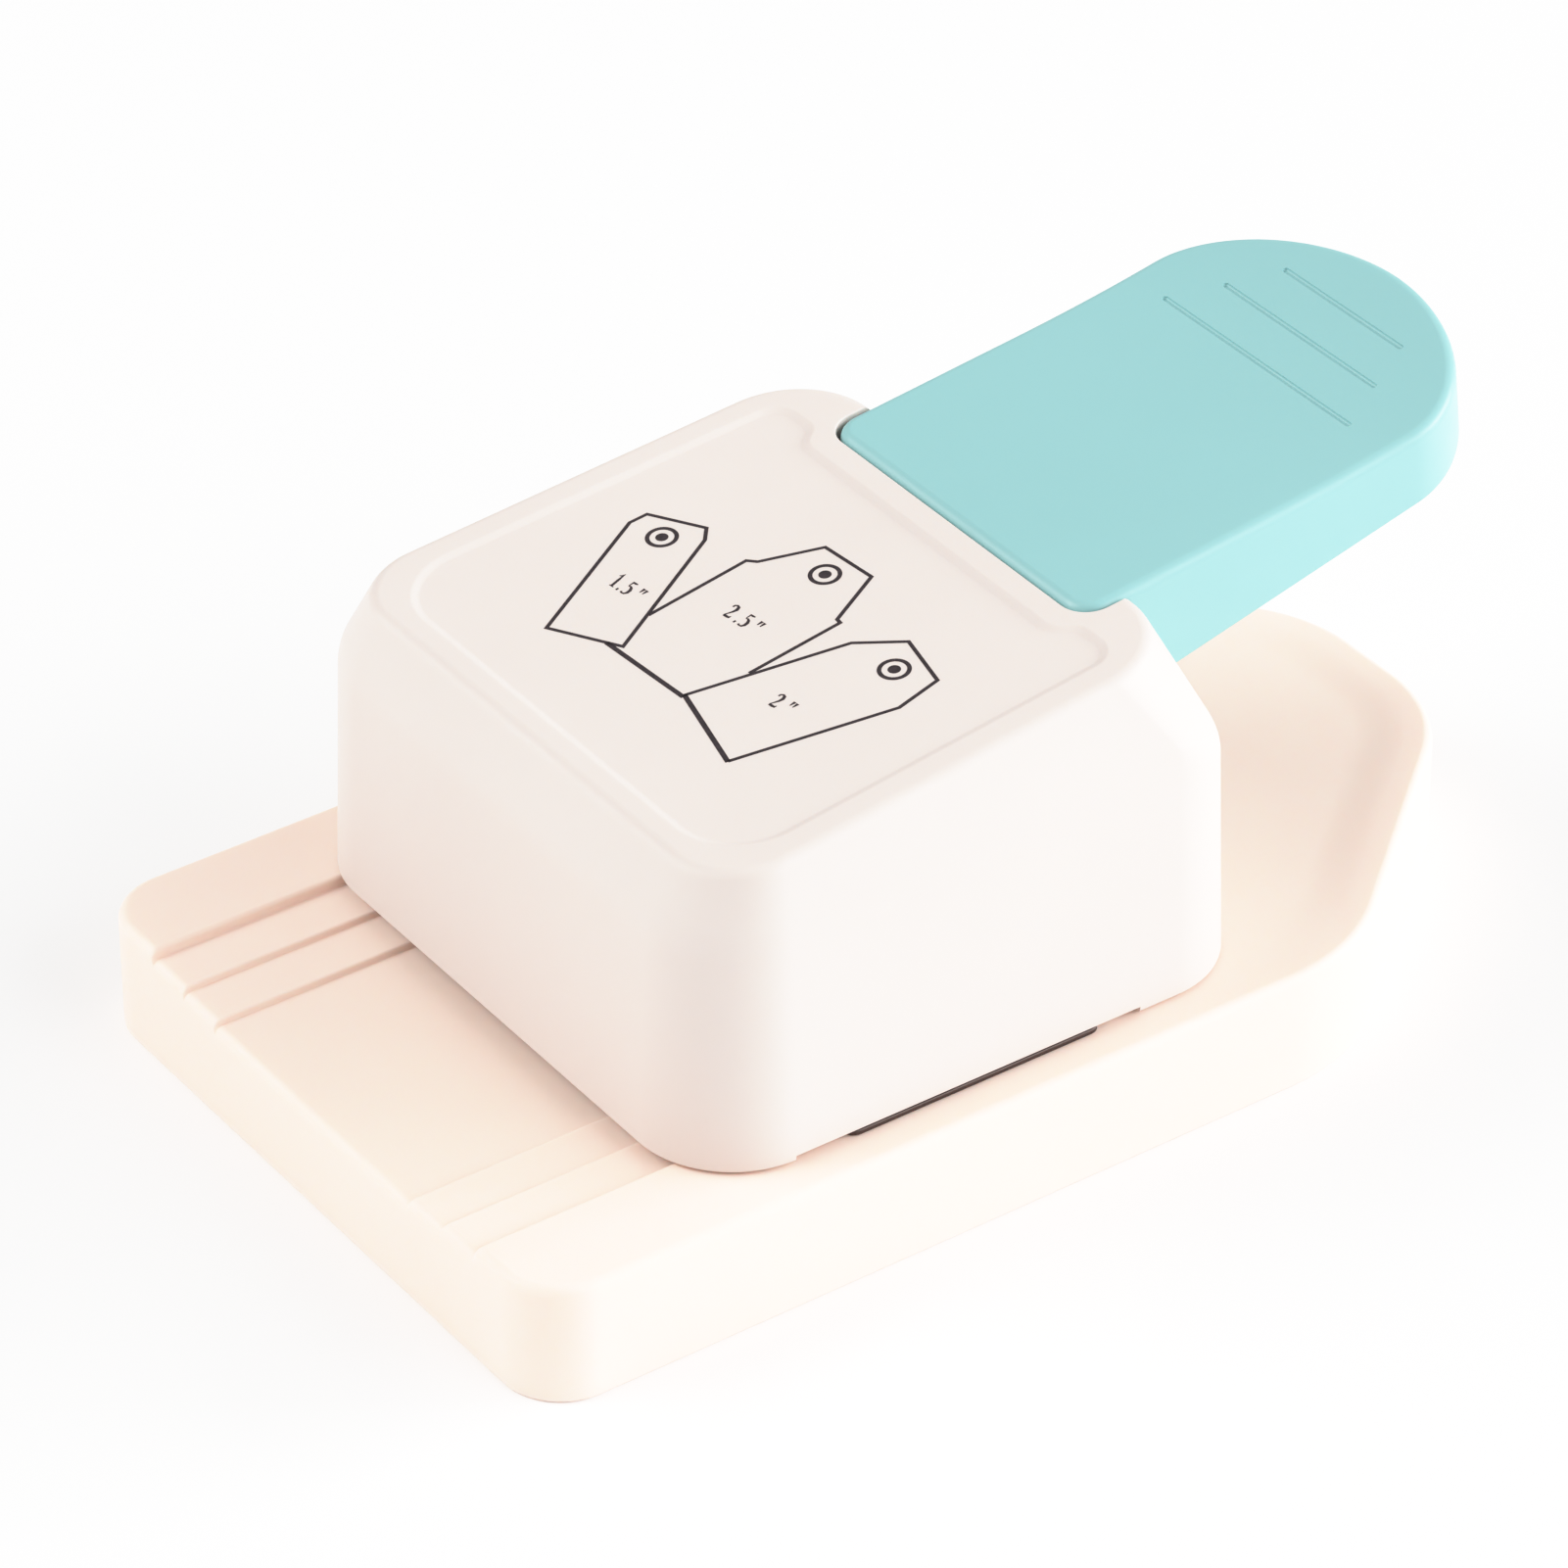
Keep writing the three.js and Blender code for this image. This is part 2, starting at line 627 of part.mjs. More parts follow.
function punchCarrier() {
  const slab = outline(
    rectangle(tag.outer + carrier.margin, tag.shoulder - carrier.margin, tag.back + carrier.margin, carrier.corner), 0, 3,
  );
  const riser = [-pedestal.halfWidth, pedestal.halfWidth, press.y - pedestal.halfLength, press.y + pedestal.halfLength];
  const nest = [
    -pedestal.halfWidth + pedestal.wall, pedestal.halfWidth - pedestal.wall,
    press.y - pedestal.halfLength + pedestal.wall, press.y + pedestal.halfLength - pedestal.wall,
  ];
  const sides = [-1, 1];
  return cut(
    join(
      prism(slab, carrier.bottom, carrierTop),
      box(...riser, carrierTop - gap, pedestal.top + pedestal.rim),
      ...sides.map((side) => pole(tower.radius, side * post.x, press.y, carrierTop - gap, tower.top)),
    ),
    box(...nest, pedestal.top, pedestal.top + over),
    pole(holeBore, 0, holeY, 0, pedestal.top),
    pole(punchHead.radius + slip, 0, holeY, pedestal.top - punchHead.thick - gap, pedestal.top + over),
    ...sides.map((side) => pole(tower.bore, side * post.x, press.y, 0, tower.top - tower.roof)),
    ...sides.map((side) => pole(post.radius + slip, side * post.x, press.y, 0, tower.top + over)),
    ...cutterScrewPlaces.map(([x, y]) => pole(cutterScrew.shank + slip, x, y, 0, carrierTop + over, smooth.small)),
  );
}

// Screws stand on a line that stays in the middle of the cutter's slanted form.
const cutterScrewPlaces = [-1, 1].flatMap((side) => cutterScrew.shares.map((share) => {
  const y = tag.shoulder + share * (tag.back - tag.shoulder);
  const inner = tag.topHalf + tag.slant * (tag.line - y);
  return [(side * (inner + tag.outer)) / 2, y];
}));

function cornerCutter(side) {
  const top = carrier.bottom - gap;
  const holes = cutterScrewPlaces
    .filter(([x]) => x * side > 0)
    .map(([x, y]) => pole(cutterScrew.shank + slip, x, y, top - cutterScrew.reach - slip, top + over, smooth.small));
  return cut(tagCorner(side, 0, cutter.tip, top), ...holes);
}

const holeCutter = () => turned([
  [0, cutter.tip],
  [tag.holeRadius, cutter.tip],
  [tag.holeRadius, pedestal.top - punchHead.thick],
  [punchHead.radius, pedestal.top - punchHead.thick],
  [punchHead.radius, pedestal.top],
  [0, pedestal.top],
], 0, holeY, 0, smooth.round);

function wearPad() {
  const halfWidth = pedestal.halfWidth - pedestal.wall - gap;
  const halfLength = pedestal.halfLength - pedestal.wall - gap;
  const z0 = pedestal.top + gap;
  return box(-halfWidth, halfWidth, press.y - halfLength, press.y + halfLength, z0, z0 + pad.thick);
}

const guidePost = (side) => turned([
  [0, stripperBottom + gap],
  [post.radius, stripperBottom + gap],
  [post.radius, stripperTop + gap],
  [post.collar, stripperTop + gap],
  [post.collar, stripperTop + gap + post.collarThick],
  [post.radius, stripperTop + gap + post.collarThick],
  [post.radius, post.top - post.radius / 4],
  [post.radius - post.radius / 4, post.top],
  [0, post.top],
], side * post.x, press.y, 0);

class Coil extends THREE.Curve {
  constructor(x, y, low, high, radius, turns) {
    super();
    Object.assign(this, { x, y, low, high, radius, turns });
  }
  getPoint(t, target = new THREE.Vector3()) {
    const a = 2 * Math.PI * this.turns * t;
    return target.set(
      this.x + this.radius * Math.cos(a), this.y + this.radius * Math.sin(a), this.low + (this.high - this.low) * t,
    );
  }
}

function returnSpring(side) {
  const half = spring.wire / 2;
  const coil = new Coil(side * post.x, press.y, springSeat + half, springTop - half, spring.radius, spring.turns);
  const geometry = new THREE.ExtrudeGeometry(new THREE.Shape(polygon(half, spring.sides)), {
    steps: spring.turns * spring.steps, extrudePath: coil,
  });
  return solid(geometry);
}

function polygon(radius, sides) {
  return Array.from({ length: sides }, (_, k) => {
    const a = (2 * Math.PI * k) / sides;
    return new THREE.Vector2(radius * Math.cos(a), radius * Math.sin(a));
  });
}

// Lever, drawn in its own frame: Y along its top from its front edge, Z square to its top.

const leverFoot = (x, y) => -lever.frontWall + lever.wallTaper * y;
const leverRise = (y) => Math.max(y - lever.riseStart, 0) ** 2 / (2 * lever.riseRadius);

function leverOutline(inset) {
  const { halfWidth, length, nose, nosePower, frontRadius } = lever;
  const sideEnd = length - nose;
  const right = hubArc(
    new THREE.Vector2(halfWidth - frontRadius, frontRadius), frontRadius - inset, -90, 0, smooth.corner,
  );
  for (let k = 1; k < smooth.side; k++) {
    const y = frontRadius + ((sideEnd - frontRadius) * k) / smooth.side;
    right.push(new THREE.Vector2(halfWidth - inset, y));
  }
  for (let k = 0; k <= smooth.nose; k++) {
    const t = (Math.PI / 2) * (k / smooth.nose);
    const width = Math.max(Math.cos(t), 0) ** (2 / nosePower);
    const reach = Math.sin(t) ** (2 / nosePower);
    const outward = new THREE.Vector2(width ** (nosePower - 1) / halfWidth, reach ** (nosePower - 1) / nose);
    const point = new THREE.Vector2(halfWidth * width, sideEnd + nose * reach);
    right.push(point.addScaledVector(outward.normalize(), -inset));
  }
  const left = right.slice(0, -1).reverse().map((p) => new THREE.Vector2(-p.x, p.y));
  return [...right, ...left];
}

// A place in the punch's frame, as [y, z] in the lever's frame.
function inLever(y, z) {
  const t = lever.tilt * degree;
  const dy = y - lever.front;
  const dz = z - lever.height;
  return new THREE.Vector2(dy * Math.cos(t) + dz * Math.sin(t), dz * Math.cos(t) - dy * Math.sin(t));
}

function leverShell() {
  const rings = [lift(leverOutline(0), leverFoot)];
  for (const angle of [0, 30, 60, 90]) {
    const a = angle * degree;
    const drop = lever.edge * (1 - Math.sin(a));
    rings.push(lift(leverOutline(lever.edge * (1 - Math.cos(a))), (x, y) => leverRise(y) - drop));
  }
  const hollow = loft([
    lift(leverOutline(lever.wall), (x, y) => leverFoot(x, y) - over),
    lift(leverOutline(lever.wall), (x, y) => leverRise(y) - lever.skin),
  ]);
  const doorway = box(
    -arm.halfWidth - lever.fit, arm.halfWidth + lever.fit, -over, lever.wall + over, -lever.frontWall - over,
    armHeight + lever.fit,
  );
  const bosses = leverScrew.places.map((y) => pole(lever.boss, 0, y, armHeight + gap, -lever.skin + gap));
  const holes = leverScrew.places.map((y) => pole(
    leverScrew.shank + slip, 0, y, armHeight - over, -leverScrew.skinLeft, smooth.small,
  ));
  const grooves = grip.insets.map((inset, i) => {
    const half = lever.halfWidth - inset;
    const y = grip.first + i * grip.pitch;
    const r = grip.width / 2;
    const top = leverRise(y);
    return prism(outline(rectangle(half, y - r, y + r, r), 0, smooth.tip), top - grip.depth, top + over);
  });
  return cut(join(cut(loft(rings), hollow, doorway), ...bosses), ...holes, ...grooves);
}

function armSide() {
  const pin = inLever(pivot.y, pivot.z);
  const bar = inLever(press.y, pivot.z);
  const underBar = new THREE.Vector2(bar.x, bar.y - arm.barDepth);
  const overPin = new THREE.Vector2(pin.x + pivot.hub, armHeight);
  return [
    ...tangentArc(pin, pivot.hub, overPin, underBar),
    underBar,
    new THREE.Vector2(bar.x + pivot.hub, bar.y - arm.barDepth),
    new THREE.Vector2(lever.wall, armHeight - arm.rearDepth),
    new THREE.Vector2(arm.end, armHeight - arm.endDepth),
    new THREE.Vector2(arm.end, armHeight),
    overPin,
  ];
}

function leverArm() {
  const pin = inLever(pivot.y, pivot.z);
  const bar = inLever(press.y, pivot.z);
  const start = pin.x - pivot.hub - over;
  const channel = box(
    -flangeInside, flangeInside, start, arm.end + over, bar.y - pivot.hub - over, armHeight - arm.thick,
  );
  const reach = arm.halfWidth + over;
  return cut(
    across(armSide(), -arm.halfWidth, arm.halfWidth),
    channel,
    rod(bushRadius + gap, -reach, reach, pin.x, pin.y),
    rod(press.radius - press.reach + gap, -reach, reach, bar.x, bar.y),
    ...leverScrew.places.map((y) => pole(leverScrew.shank + slip, 0, y, armHeight - over, over, smooth.small)),
  );
}

// A thick roller-shaped bar between the flanges, on thinner ends that pass through them.
function pressBar() {
  const { x: y, y: z } = inLever(press.y, pivot.z);
  const end = arm.halfWidth + press.reach;
  return join(
    rod(press.radius, -flangeInside + gap, flangeInside - gap, y, z),
    rod(press.radius - press.reach, -end, end, y, z),
  );
}

// Housing

function shoulderHeight(x, y) {
  const { front, crest, rear, crestY } = shoulder;
  const drop = y < crestY
    ? front + (crest - front) * THREE.MathUtils.smoothstep(y, crown.front, crestY)
    : crest + (rear - crest) * THREE.MathUtils.smoothstep(y, crestY, housing.back);
  return crown.height - drop;
}

const crownHeight = (x, y) => crown.height + crownSlope * (y - crown.front);

function housingForm(wall, roof, bottom) {
  const { halfWidth, front, back, corner, draft } = housing;
  const foot = rectangle(halfWidth, front, back, corner);
  const waist = rectangle(halfWidth - draft, front + draft, back - draft, corner - draft);
  const top = rectangle(crown.halfFront, crown.front, crown.back, crown.frontRadius, crown.halfBack, crown.backRadius);
  const rounding = [0, 45, 90].map((angle) => [
    crown.edge * (1 - Math.cos(angle * degree)), crown.edge * (1 - Math.sin(angle * degree)),
  ]);
  const edge = wall ? [[wall, 0]] : rounding;
  return loft([
    lift(outline(foot, wall), () => bottom),
    lift(outline(waist, wall), (x, y) => shoulderHeight(x, y) - wall / 2),
    ...edge.map(([inset, drop]) => lift(outline(top, inset), (x, y) => crownHeight(x, y) - roof - drop)),
  ]);
}

// A prism square to the tilted top, given by its outline in plan and its depths below that top.
function onCrown(points, depth, height) {
  const plan = prism(points, -depth, height);
  const m = new THREE.Matrix4().makeShear(0, 0, 0, 0, 0, 0);
  m.elements[6] = crownSlope;
  m.elements[14] = crown.height - crownSlope * crown.front;
  return plan.transform(m.elements);
}

function panelOutline() {
  const { halfFront, halfBack, front, back, notchLine, notchHalf, lobe } = panel;
  return outline([
    [-halfFront, front, panel.radius],
    [halfFront, front, panel.radius],
    [halfBack, back, panel.backRadius],
    [notchHalf + lobe, back, panel.lobeRadius],
    [notchHalf, notchLine, panel.backRadius],
    [-notchHalf, notchLine, panel.backRadius],
    [-notchHalf - lobe, back, panel.lobeRadius],
    [-halfBack, back, panel.backRadius],
  ]);
}

// The height of the lever arm's back when the lever is up.
const armTop = (y) => lever.height + Math.tan(lever.tilt * degree) * (y - lever.front)
  + armHeight / Math.cos(lever.tilt * degree);

function coverHousing() {
  const outer = housingForm(0, 0, housingBottom);
  const hollow = housingForm(housing.wall, housing.roof, housingBottom - over);
  const bosses = coverPlaces.map(({ x, y, top }) => pole(cornerBoss.radius, x, y, housingBottom, top).intersect(outer));
  const ribs = [-1, 1].map((side) => box(
    side * stopRib.x - stopRib.thick / 2, side * stopRib.x + stopRib.thick / 2, stopRib.front, stopRib.back,
    armTop(stopRib.back) + gap, crownHeight(0, stopRib.front) - housing.roof / 2,
  ));
  const notchHalf = lever.halfWidth + lever.fit;
  const notchFront = lever.front - lever.fit;
  const notch = prism(
    outline(rectangle(notchHalf, notchFront, housing.back + over, lever.frontRadius), 0, smooth.corner),
    housing.notchFloor, lever.height + over + over,
  );
  const slots = [-1, 1].flatMap((side) => {
    const near = housing.halfWidth - sideSlot.depth;
    const band = (far) => [side * near, side * far].sort((a, b) => a - b);
    return [
      box(...band(housing.halfWidth + over), sideSlot.front, sideSlot.back, 0, housingBottom + sideSlot.height),
      box(...band(stripper.wing + gap), stripper.wingFront - gap, stripper.wingBack + gap, 0, stripperTop + gap),
    ];
  });
  const holes = coverPlaces.map(({ x, y }) => pole(
    coverScrew.shank + slip, x, y, 0, coverScrew.sink + coverScrew.length, smooth.small,
  ));
  const recess = onCrown(panelOutline(), panel.depth, over);
  return cut(join(cut(outer, hollow), ...bosses, ...ribs), notch, ...slots, ...holes, recess);
}

// Screws, head down: their head's face lies at z.

function screw(size, length, x, y, z, up = 1) {
  const profile = [
    [0, 0],
    [size.head, 0],
    [size.head, size.headThick],
    [size.shank, size.headThick],
    [size.shank, size.headThick + length - size.shank / 2],
    [size.shank / 2, size.headThick + length],
    [0, size.headThick + length],
  ].map(([radius, height]) => [radius, up * height]);
  return turned(profile, x, y, z, smooth.small);
}

function coverScrewAt({ x, y }) {
  const z = coverScrew.sink - gap - coverScrew.headThick;
  return screw(coverScrew, coverScrew.length - slip, x, y, z);
}

function frameScrewAt(side, y, top) {
  const z = frameBottom - gap - frameScrew.headThick;
  return screw(frameScrew, top - z - frameScrew.headThick, side * frameScrew.x, y, z);
}

function cutterScrewAt([x, y]) {
  const z = carrierTop + gap + cutterScrew.headThick;
  const length = carrierTop + gap - (carrier.bottom - gap - cutterScrew.reach);
  return screw(cutterScrew, length, x, y, z, -1);
}

function leverScrewAt(y) {
  const z = armHeight - arm.thick - gap - leverScrew.headThick;
  const length = arm.thick + gap - armHeight - leverScrew.skinLeft - slip;
  return screw(leverScrew, length, 0, y, z);
}

// Assembly

const colours = {
  cream: { color: 0xfbf0e4, roughness: 0.5, metalness: 0 },
  white: { color: 0xf4eeea, roughness: 0.55, metalness: 0 },
  aqua: { color: 0x9ed9da, roughness: 0.4, metalness: 0 },
  steel: { color: 0x8d9093, roughness: 0.35, metalness: 1 },
  zinc: { color: 0x74777b, roughness: 0.5, metalness: 1 },
  charcoal: { color: 0x3c3f43, roughness: 0.6, metalness: 0 },
  nylon: { color: 0xe9e6dc, roughness: 0.5, metalness: 0 },
};
const materials = Object.fromEntries(
  Object.entries(colours).map(([name, look]) => [name, new THREE.MeshStandardMaterial(look)]),
);

function piece(name, made, look) {
  const { numProp, vertProperties, triVerts } = made.getMesh();
  const points = new Float32Array((vertProperties.length / numProp) * 3);
  for (let i = 0; i < points.length / 3; i++) {
    points.set(vertProperties.subarray(i * numProp, i * numProp + 3), i * 3);
  }
  const geometry = new THREE.BufferGeometry();
  geometry.setAttribute("position", new THREE.BufferAttribute(points, 3));
  geometry.setIndex(new THREE.BufferAttribute(triVerts, 1));
  geometry.computeVertexNormals();
  const mesh = new THREE.Mesh(geometry, materials[look]);
  mesh.name = name;
  return mesh;
}

const sides = { left: -1, right: 1 };
const pair = (name, make, look) => Object.entries(sides).map(([word, side]) => piece(`${name}_${word}`, make(side), look));

const fixed = new THREE.Group();
fixed.add(
  piece("base_tray", baseTray(), "cream"),
  piece("housing", coverHousing(), "white"),
  piece("die_plate", diePlate(), "steel"),
  piece("stripper_plate", stripperPlate(), "steel"),
  piece("paper_stop", paperStop(), "steel"),
  piece("u_frame", uFrame(), "steel"),
  piece("pivot_pin", pivotPin(), "steel"),
  ...pair("pin_clip", pinClip, "steel"),
  ...pair("pin_spacer", pinSpacer, "nylon"),
  ...pair("guide_post", guidePost, "steel"),
  ...pair("return_spring", returnSpring, "steel"),
  ...coverPlaces.map((place, i) => piece(
    `housing_screw_${i < 2 ? "front" : "rear"}_${place.x < 0 ? "left" : "right"}`, coverScrewAt(place), "zinc",
  )),
  ...pair(
    "frame_screw_front", (side) => frameScrewAt(side, frameScrew.frontY, dieBottom + frameScrew.frontReach), "zinc",
  ),
  ...pair("frame_screw_rear", (side) => frameScrewAt(side, frameScrew.rearY, stripperTop + gap), "zinc"),
);

const punch = new THREE.Group();
punch.add(
  piece("punch_carrier", punchCarrier(), "charcoal"),
  ...pair("corner_cutter", cornerCutter, "steel"),
  piece("hole_cutter", holeCutter(), "steel"),
  piece("wear_pad", wearPad(), "steel"),
  ...cutterScrewPlaces.map((place, i) => piece(
    `cutter_screw_${place[0] < 0 ? "left" : "right"}_${i % 2 ? "rear" : "front"}`, cutterScrewAt(place), "zinc",
  )),
);

// The bushes turn with the arm on the pin, so they are drawn about the pin and moved with it.
const handle = new THREE.Group();
handle.position.set(0, lever.front, lever.height);
handle.rotation.x = lever.tilt * degree;
handle.add(
  piece("lever", leverShell(), "aqua"),
  piece("lever_arm", leverArm(), "steel"),
  piece("press_bar", pressBar(), "steel"),
  ...leverScrew.places.map((y, i) => piece(`lever_screw_${i ? "rear" : "front"}`, leverScrewAt(y), "zinc")),
);
const bushes = new THREE.Group();
bushes.add(...pair("pivot_bush", pivotBush, "nylon"));

// The origin lies below the middle of the whole punch.
const assembly = new THREE.Group();
assembly.add(fixed, punch, handle, bushes);
assembly.updateMatrixWorld(true);
const middle = new THREE.Box3().setFromObject(assembly, true).getCenter(new THREE.Vector3());
assembly.position.set(-middle.x, -middle.y, 0);

const part = new THREE.Group();
part.add(assembly);

export default part;
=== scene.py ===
"""Looks of a tag punch for paper strips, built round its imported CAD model.

Shapes are drawn in millimetres in the punch's own frame: X runs across it, Y runs back from the
front edge of the base and Z up from the table. They are turned into metres in the shared frame
when a piece is finished. Lights and the floor are placed in metres.
"""

import json
import math

import bmesh
import bpy
from mathutils import Matrix, Vector


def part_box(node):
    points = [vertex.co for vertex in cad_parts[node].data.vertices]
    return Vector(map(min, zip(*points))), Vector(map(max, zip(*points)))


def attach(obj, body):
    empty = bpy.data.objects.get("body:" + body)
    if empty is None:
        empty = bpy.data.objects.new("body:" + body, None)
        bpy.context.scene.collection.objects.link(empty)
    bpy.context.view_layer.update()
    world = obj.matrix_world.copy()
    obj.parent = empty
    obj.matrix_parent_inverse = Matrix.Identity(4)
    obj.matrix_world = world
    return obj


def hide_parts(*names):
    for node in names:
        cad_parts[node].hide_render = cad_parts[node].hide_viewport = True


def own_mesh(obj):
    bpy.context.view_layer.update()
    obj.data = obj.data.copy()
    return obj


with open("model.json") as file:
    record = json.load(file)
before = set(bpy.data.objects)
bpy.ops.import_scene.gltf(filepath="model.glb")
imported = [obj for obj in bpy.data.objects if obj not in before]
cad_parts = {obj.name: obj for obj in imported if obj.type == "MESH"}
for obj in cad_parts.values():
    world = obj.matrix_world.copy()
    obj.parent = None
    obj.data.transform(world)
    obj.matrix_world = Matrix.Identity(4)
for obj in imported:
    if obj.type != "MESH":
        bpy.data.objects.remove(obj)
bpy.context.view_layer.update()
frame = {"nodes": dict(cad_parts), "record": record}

MM = 0.001
FRONT_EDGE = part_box("base_tray")[0].y
TO_SHARED = Matrix.Translation((0, FRONT_EDGE, 0)) @ Matrix.Scale(MM, 4)

# Shared allowances, in millimetres: OVER is how far a cut runs past what it opens, GAP the room round a
# seated piece, SLIP the room round a screw, and points closer than WELD are joined

OVER = 2.0
GAP = 0.3
SLIP = 0.3
LEAST_RADIUS = 0.1
WELD = 0.001

# Sizes in millimetres, angles in degrees

BASE = dict(
    half=44.29, length=145.4, height=15, taper=108, nose_half=13, front_radius=7.5, shoulder_radius=25,
    nose_radius=19, edge=1.1, foot=0.5, wall=2.5, ceiling=10.4, rib=1.6, rib_depth=3, front_rib=36.9,
    boss=4.2, boss_foot=2,
)

# Guides for strips of 2.5, 2 and 1.5 inches

GUIDES = dict(
    widths=[63.5, 50.8, 38.1], depths=[1.2, 0.7, 0.7], lean=0.12, corner_share=0.2, crest_share=0.5,
)

# The dish is drawn shallower than the solid's, with a softer slope behind a broader rim

DISH = dict(front=97, ramp=24, depth=0.35, lip=2.8, slope=6.0, rise=0.004, rib_y=104.8)
WINDOW = dict(half=33.1, front=43, back=83.3, floor=8.6)
EARS = dict(inside=33.5, outside=35, front=50, back=68)
COVER_SCREWS = dict(places=[(34.4, 32.4, 26), (33.8, 89.8, 30)], shank=1.5, head=3, sink=4, length=20)
FRAME_HOLES = dict(x=28.5, y=39.8, rear_y=80, radius=1.7, top=13.2)
TAG = dict(line=74.5, top=15, slant=0.49, shoulder=45.6, back=76, outer=32, hole=2.9, hole_y=61.7)
STRIPPER = dict(
    low=15.3, thick=1.2, edge=0.1, wing=38.6, front=42.5, back=76, corner=1.5, post=2,
    lip=39.6, lip_low=15.04, lip_high=15.68,
)

HOUSING = dict(
    half=39.7, front=23.7, back=98.2, corner=12, draft=0.95, wall=2, roof=2.2, bottom=15.3, lip=0.35,
    notch_floor=31,
)
SHOULDER = dict(front=43.6, crest=47, rear=42.3, crest_y=83, round=1.8)
CROWN = dict(
    half_front=35.9, half_back=34.1, front=28.4, back=90.2, front_radius=8.5, back_radius=10.5, height=50.4,
    slope=5.94, edge=1.0,
)
PANEL = dict(
    half_front=32.1, half_back=30.6, front=31.8, back=83.2, notch_line=80.6, notch_half=22.5, lobe=2.1,
    radius=8, back_radius=3, lobe_radius=1.9, depth=0.35, slope=0.6,
)
SLOT = dict(
    front=35.5, back=81, height=0.72, depth=2.6, wing=38.9, wing_front=42.2, wing_back=76.3, wing_top=16.8,
)
RIBS = dict(x=5, thick=2, front=72, back=78, clearance=0.3)
CORNER_BOSS = 3.4

LEVER = dict(
    half=23.3, front=84.4, height=56.3968, length=62.5, tilt=6.72, nose=16.7, power=1.89, rise_start=26.6,
    rise_radius=254, front_radius=3.5, front_wall=14.2, taper=0.126, edge=1.3, wall=2, skin=2.4, fit=0.3,
    boss=3.4, foot=0.3, rim=0.2,
)
GRIP = dict(
    first=42, pitch=6.2, halves=[16.7, 13.5, 10.5], width=0.8, depth=0.36, end_share=0.97, flat_steps=2,
)
ARM = dict(half=12, standoff=3, screw_places=[9, 31], shank=1.7, skin_left=1)

SPRING = dict(
    x=17.1995, y=60.5, radius=3.2, wire=1, turns=5, low=18.1, high=29.6, steps=36, sides=14, travel=4.6,
)
BROKEN_EDGE = 0.12

# Ink on the panel, as lines in plan with their widths, all moved over by the print's shift. The limit
# keeps the corners of sharply turning lines short.

INK_DEPTH = 0.015
THIN = 0.46
THICK = 0.60
PRINT_SHIFT = (-0.53, 0.30)
MITRE_LIMIT = 0.35
EYELET = dict(ring=1.62, line=0.5, dot=0.72)
TAGS = {
    "small": dict(
        lines=[
            ([(-13.6, 40.5), (-23.3, 58.0), (-23.3, 60.3), (-16.8, 63.7), (-15.1, 62.3), (-5.3, 44.8),
              (-13.6, 40.5)], THIN),
        ],
        eyelet=(-18.7, 59.1), text='1.5"', text_at=(-15.6, 49.9),
    ),
    "large": dict(
        lines=[
            ([(-8.05, 50), (-9, 63.5), (-8, 64.3), (-5.2, 71.3), (2.5, 71.9), (6.2, 64.7), (6.9, 64.6),
              (7.6, 52.2)], THIN),
            ([(-7.1, 43.85), (6.3, 44.6)], THICK),
        ],
        eyelet=(-1.2, 68.4), text='2.5"', text_at=(-2.8, 56.0),
    ),
    "medium": dict(
        lines=[
            ([(6.1, 44.8), (10.6, 63.4), (14.5, 68.1), (22, 66.4), (23.1, 60.6), (18.5, 41.8)], THIN),
            ([(6.0, 44.9), (18.6, 41.75)], THICK),
        ],
        eyelet=(17.4, 64.1), text='2"', text_at=(13.3, 50.6),
    ),
}

# Numerals and the inch mark, in shares of their height: how far the pen moves on, and strokes of
# (across, up, width)

LETTER = dict(size=2.25, slant=-0.25, narrow=0.93, weight=1.35, turn=4)
GLYPH_SHARES = {
    "1": (0.56, [
        [(0.05, 0.80, 0.03), (0.15, 0.86, 0.06), (0.24, 0.98, 0.10), (0.24, 0.5, 0.11), (0.24, 0.03, 0.11)],
        [(0.08, 0.02, 0.04), (0.24, 0.02, 0.05), (0.40, 0.02, 0.04)],
    ]),
    ".": (0.36, [[(0.06, 0.06, 0.12), (0.12, 0.06, 0.13), (0.18, 0.06, 0.12)]]),
    "5": (0.72, [
        [(0.50, 0.97, 0.05), (0.34, 0.94, 0.10), (0.18, 0.94, 0.07), (0.12, 0.62, 0.04)],
        [(0.12, 0.60, 0.04), (0.26, 0.64, 0.07), (0.38, 0.56, 0.11), (0.44, 0.40, 0.13), (0.42, 0.20, 0.12),
         (0.30, 0.05, 0.08), (0.14, 0.02, 0.06), (0.05, 0.09, 0.10)],
    ]),
    "2": (0.80, [
        [(0.07, 0.74, 0.08), (0.10, 0.88, 0.07), (0.24, 0.97, 0.07), (0.38, 0.90, 0.12), (0.42, 0.72, 0.13),
         (0.34, 0.50, 0.10), (0.18, 0.24, 0.06), (0.06, 0.06, 0.05)],
        [(0.05, 0.05, 0.11), (0.28, 0.05, 0.12), (0.44, 0.07, 0.09), (0.50, 0.20, 0.03)],
    ]),
    '"': (0.60, [
        [(0.34, 0.99, 0.13), (0.26, 0.64, 0.04)],
        [(0.56, 0.99, 0.13), (0.48, 0.64, 0.04)],
    ]),
}

# How many steps a round or a curve is drawn in

STEPS = dict(
    corner=20, edge=6, circle=40, side=24, nose=40, small=6, bead=3, lip=4, bend=10, groove=8, slope=8,
    bevel=2,
)

# Edges with a greater angle shade as sharp ones, and the weight lets large faces lead the shading

SHARP = dict(shell=35, coil=60, inner=40)
NORMAL_WEIGHT = 100


# Solids


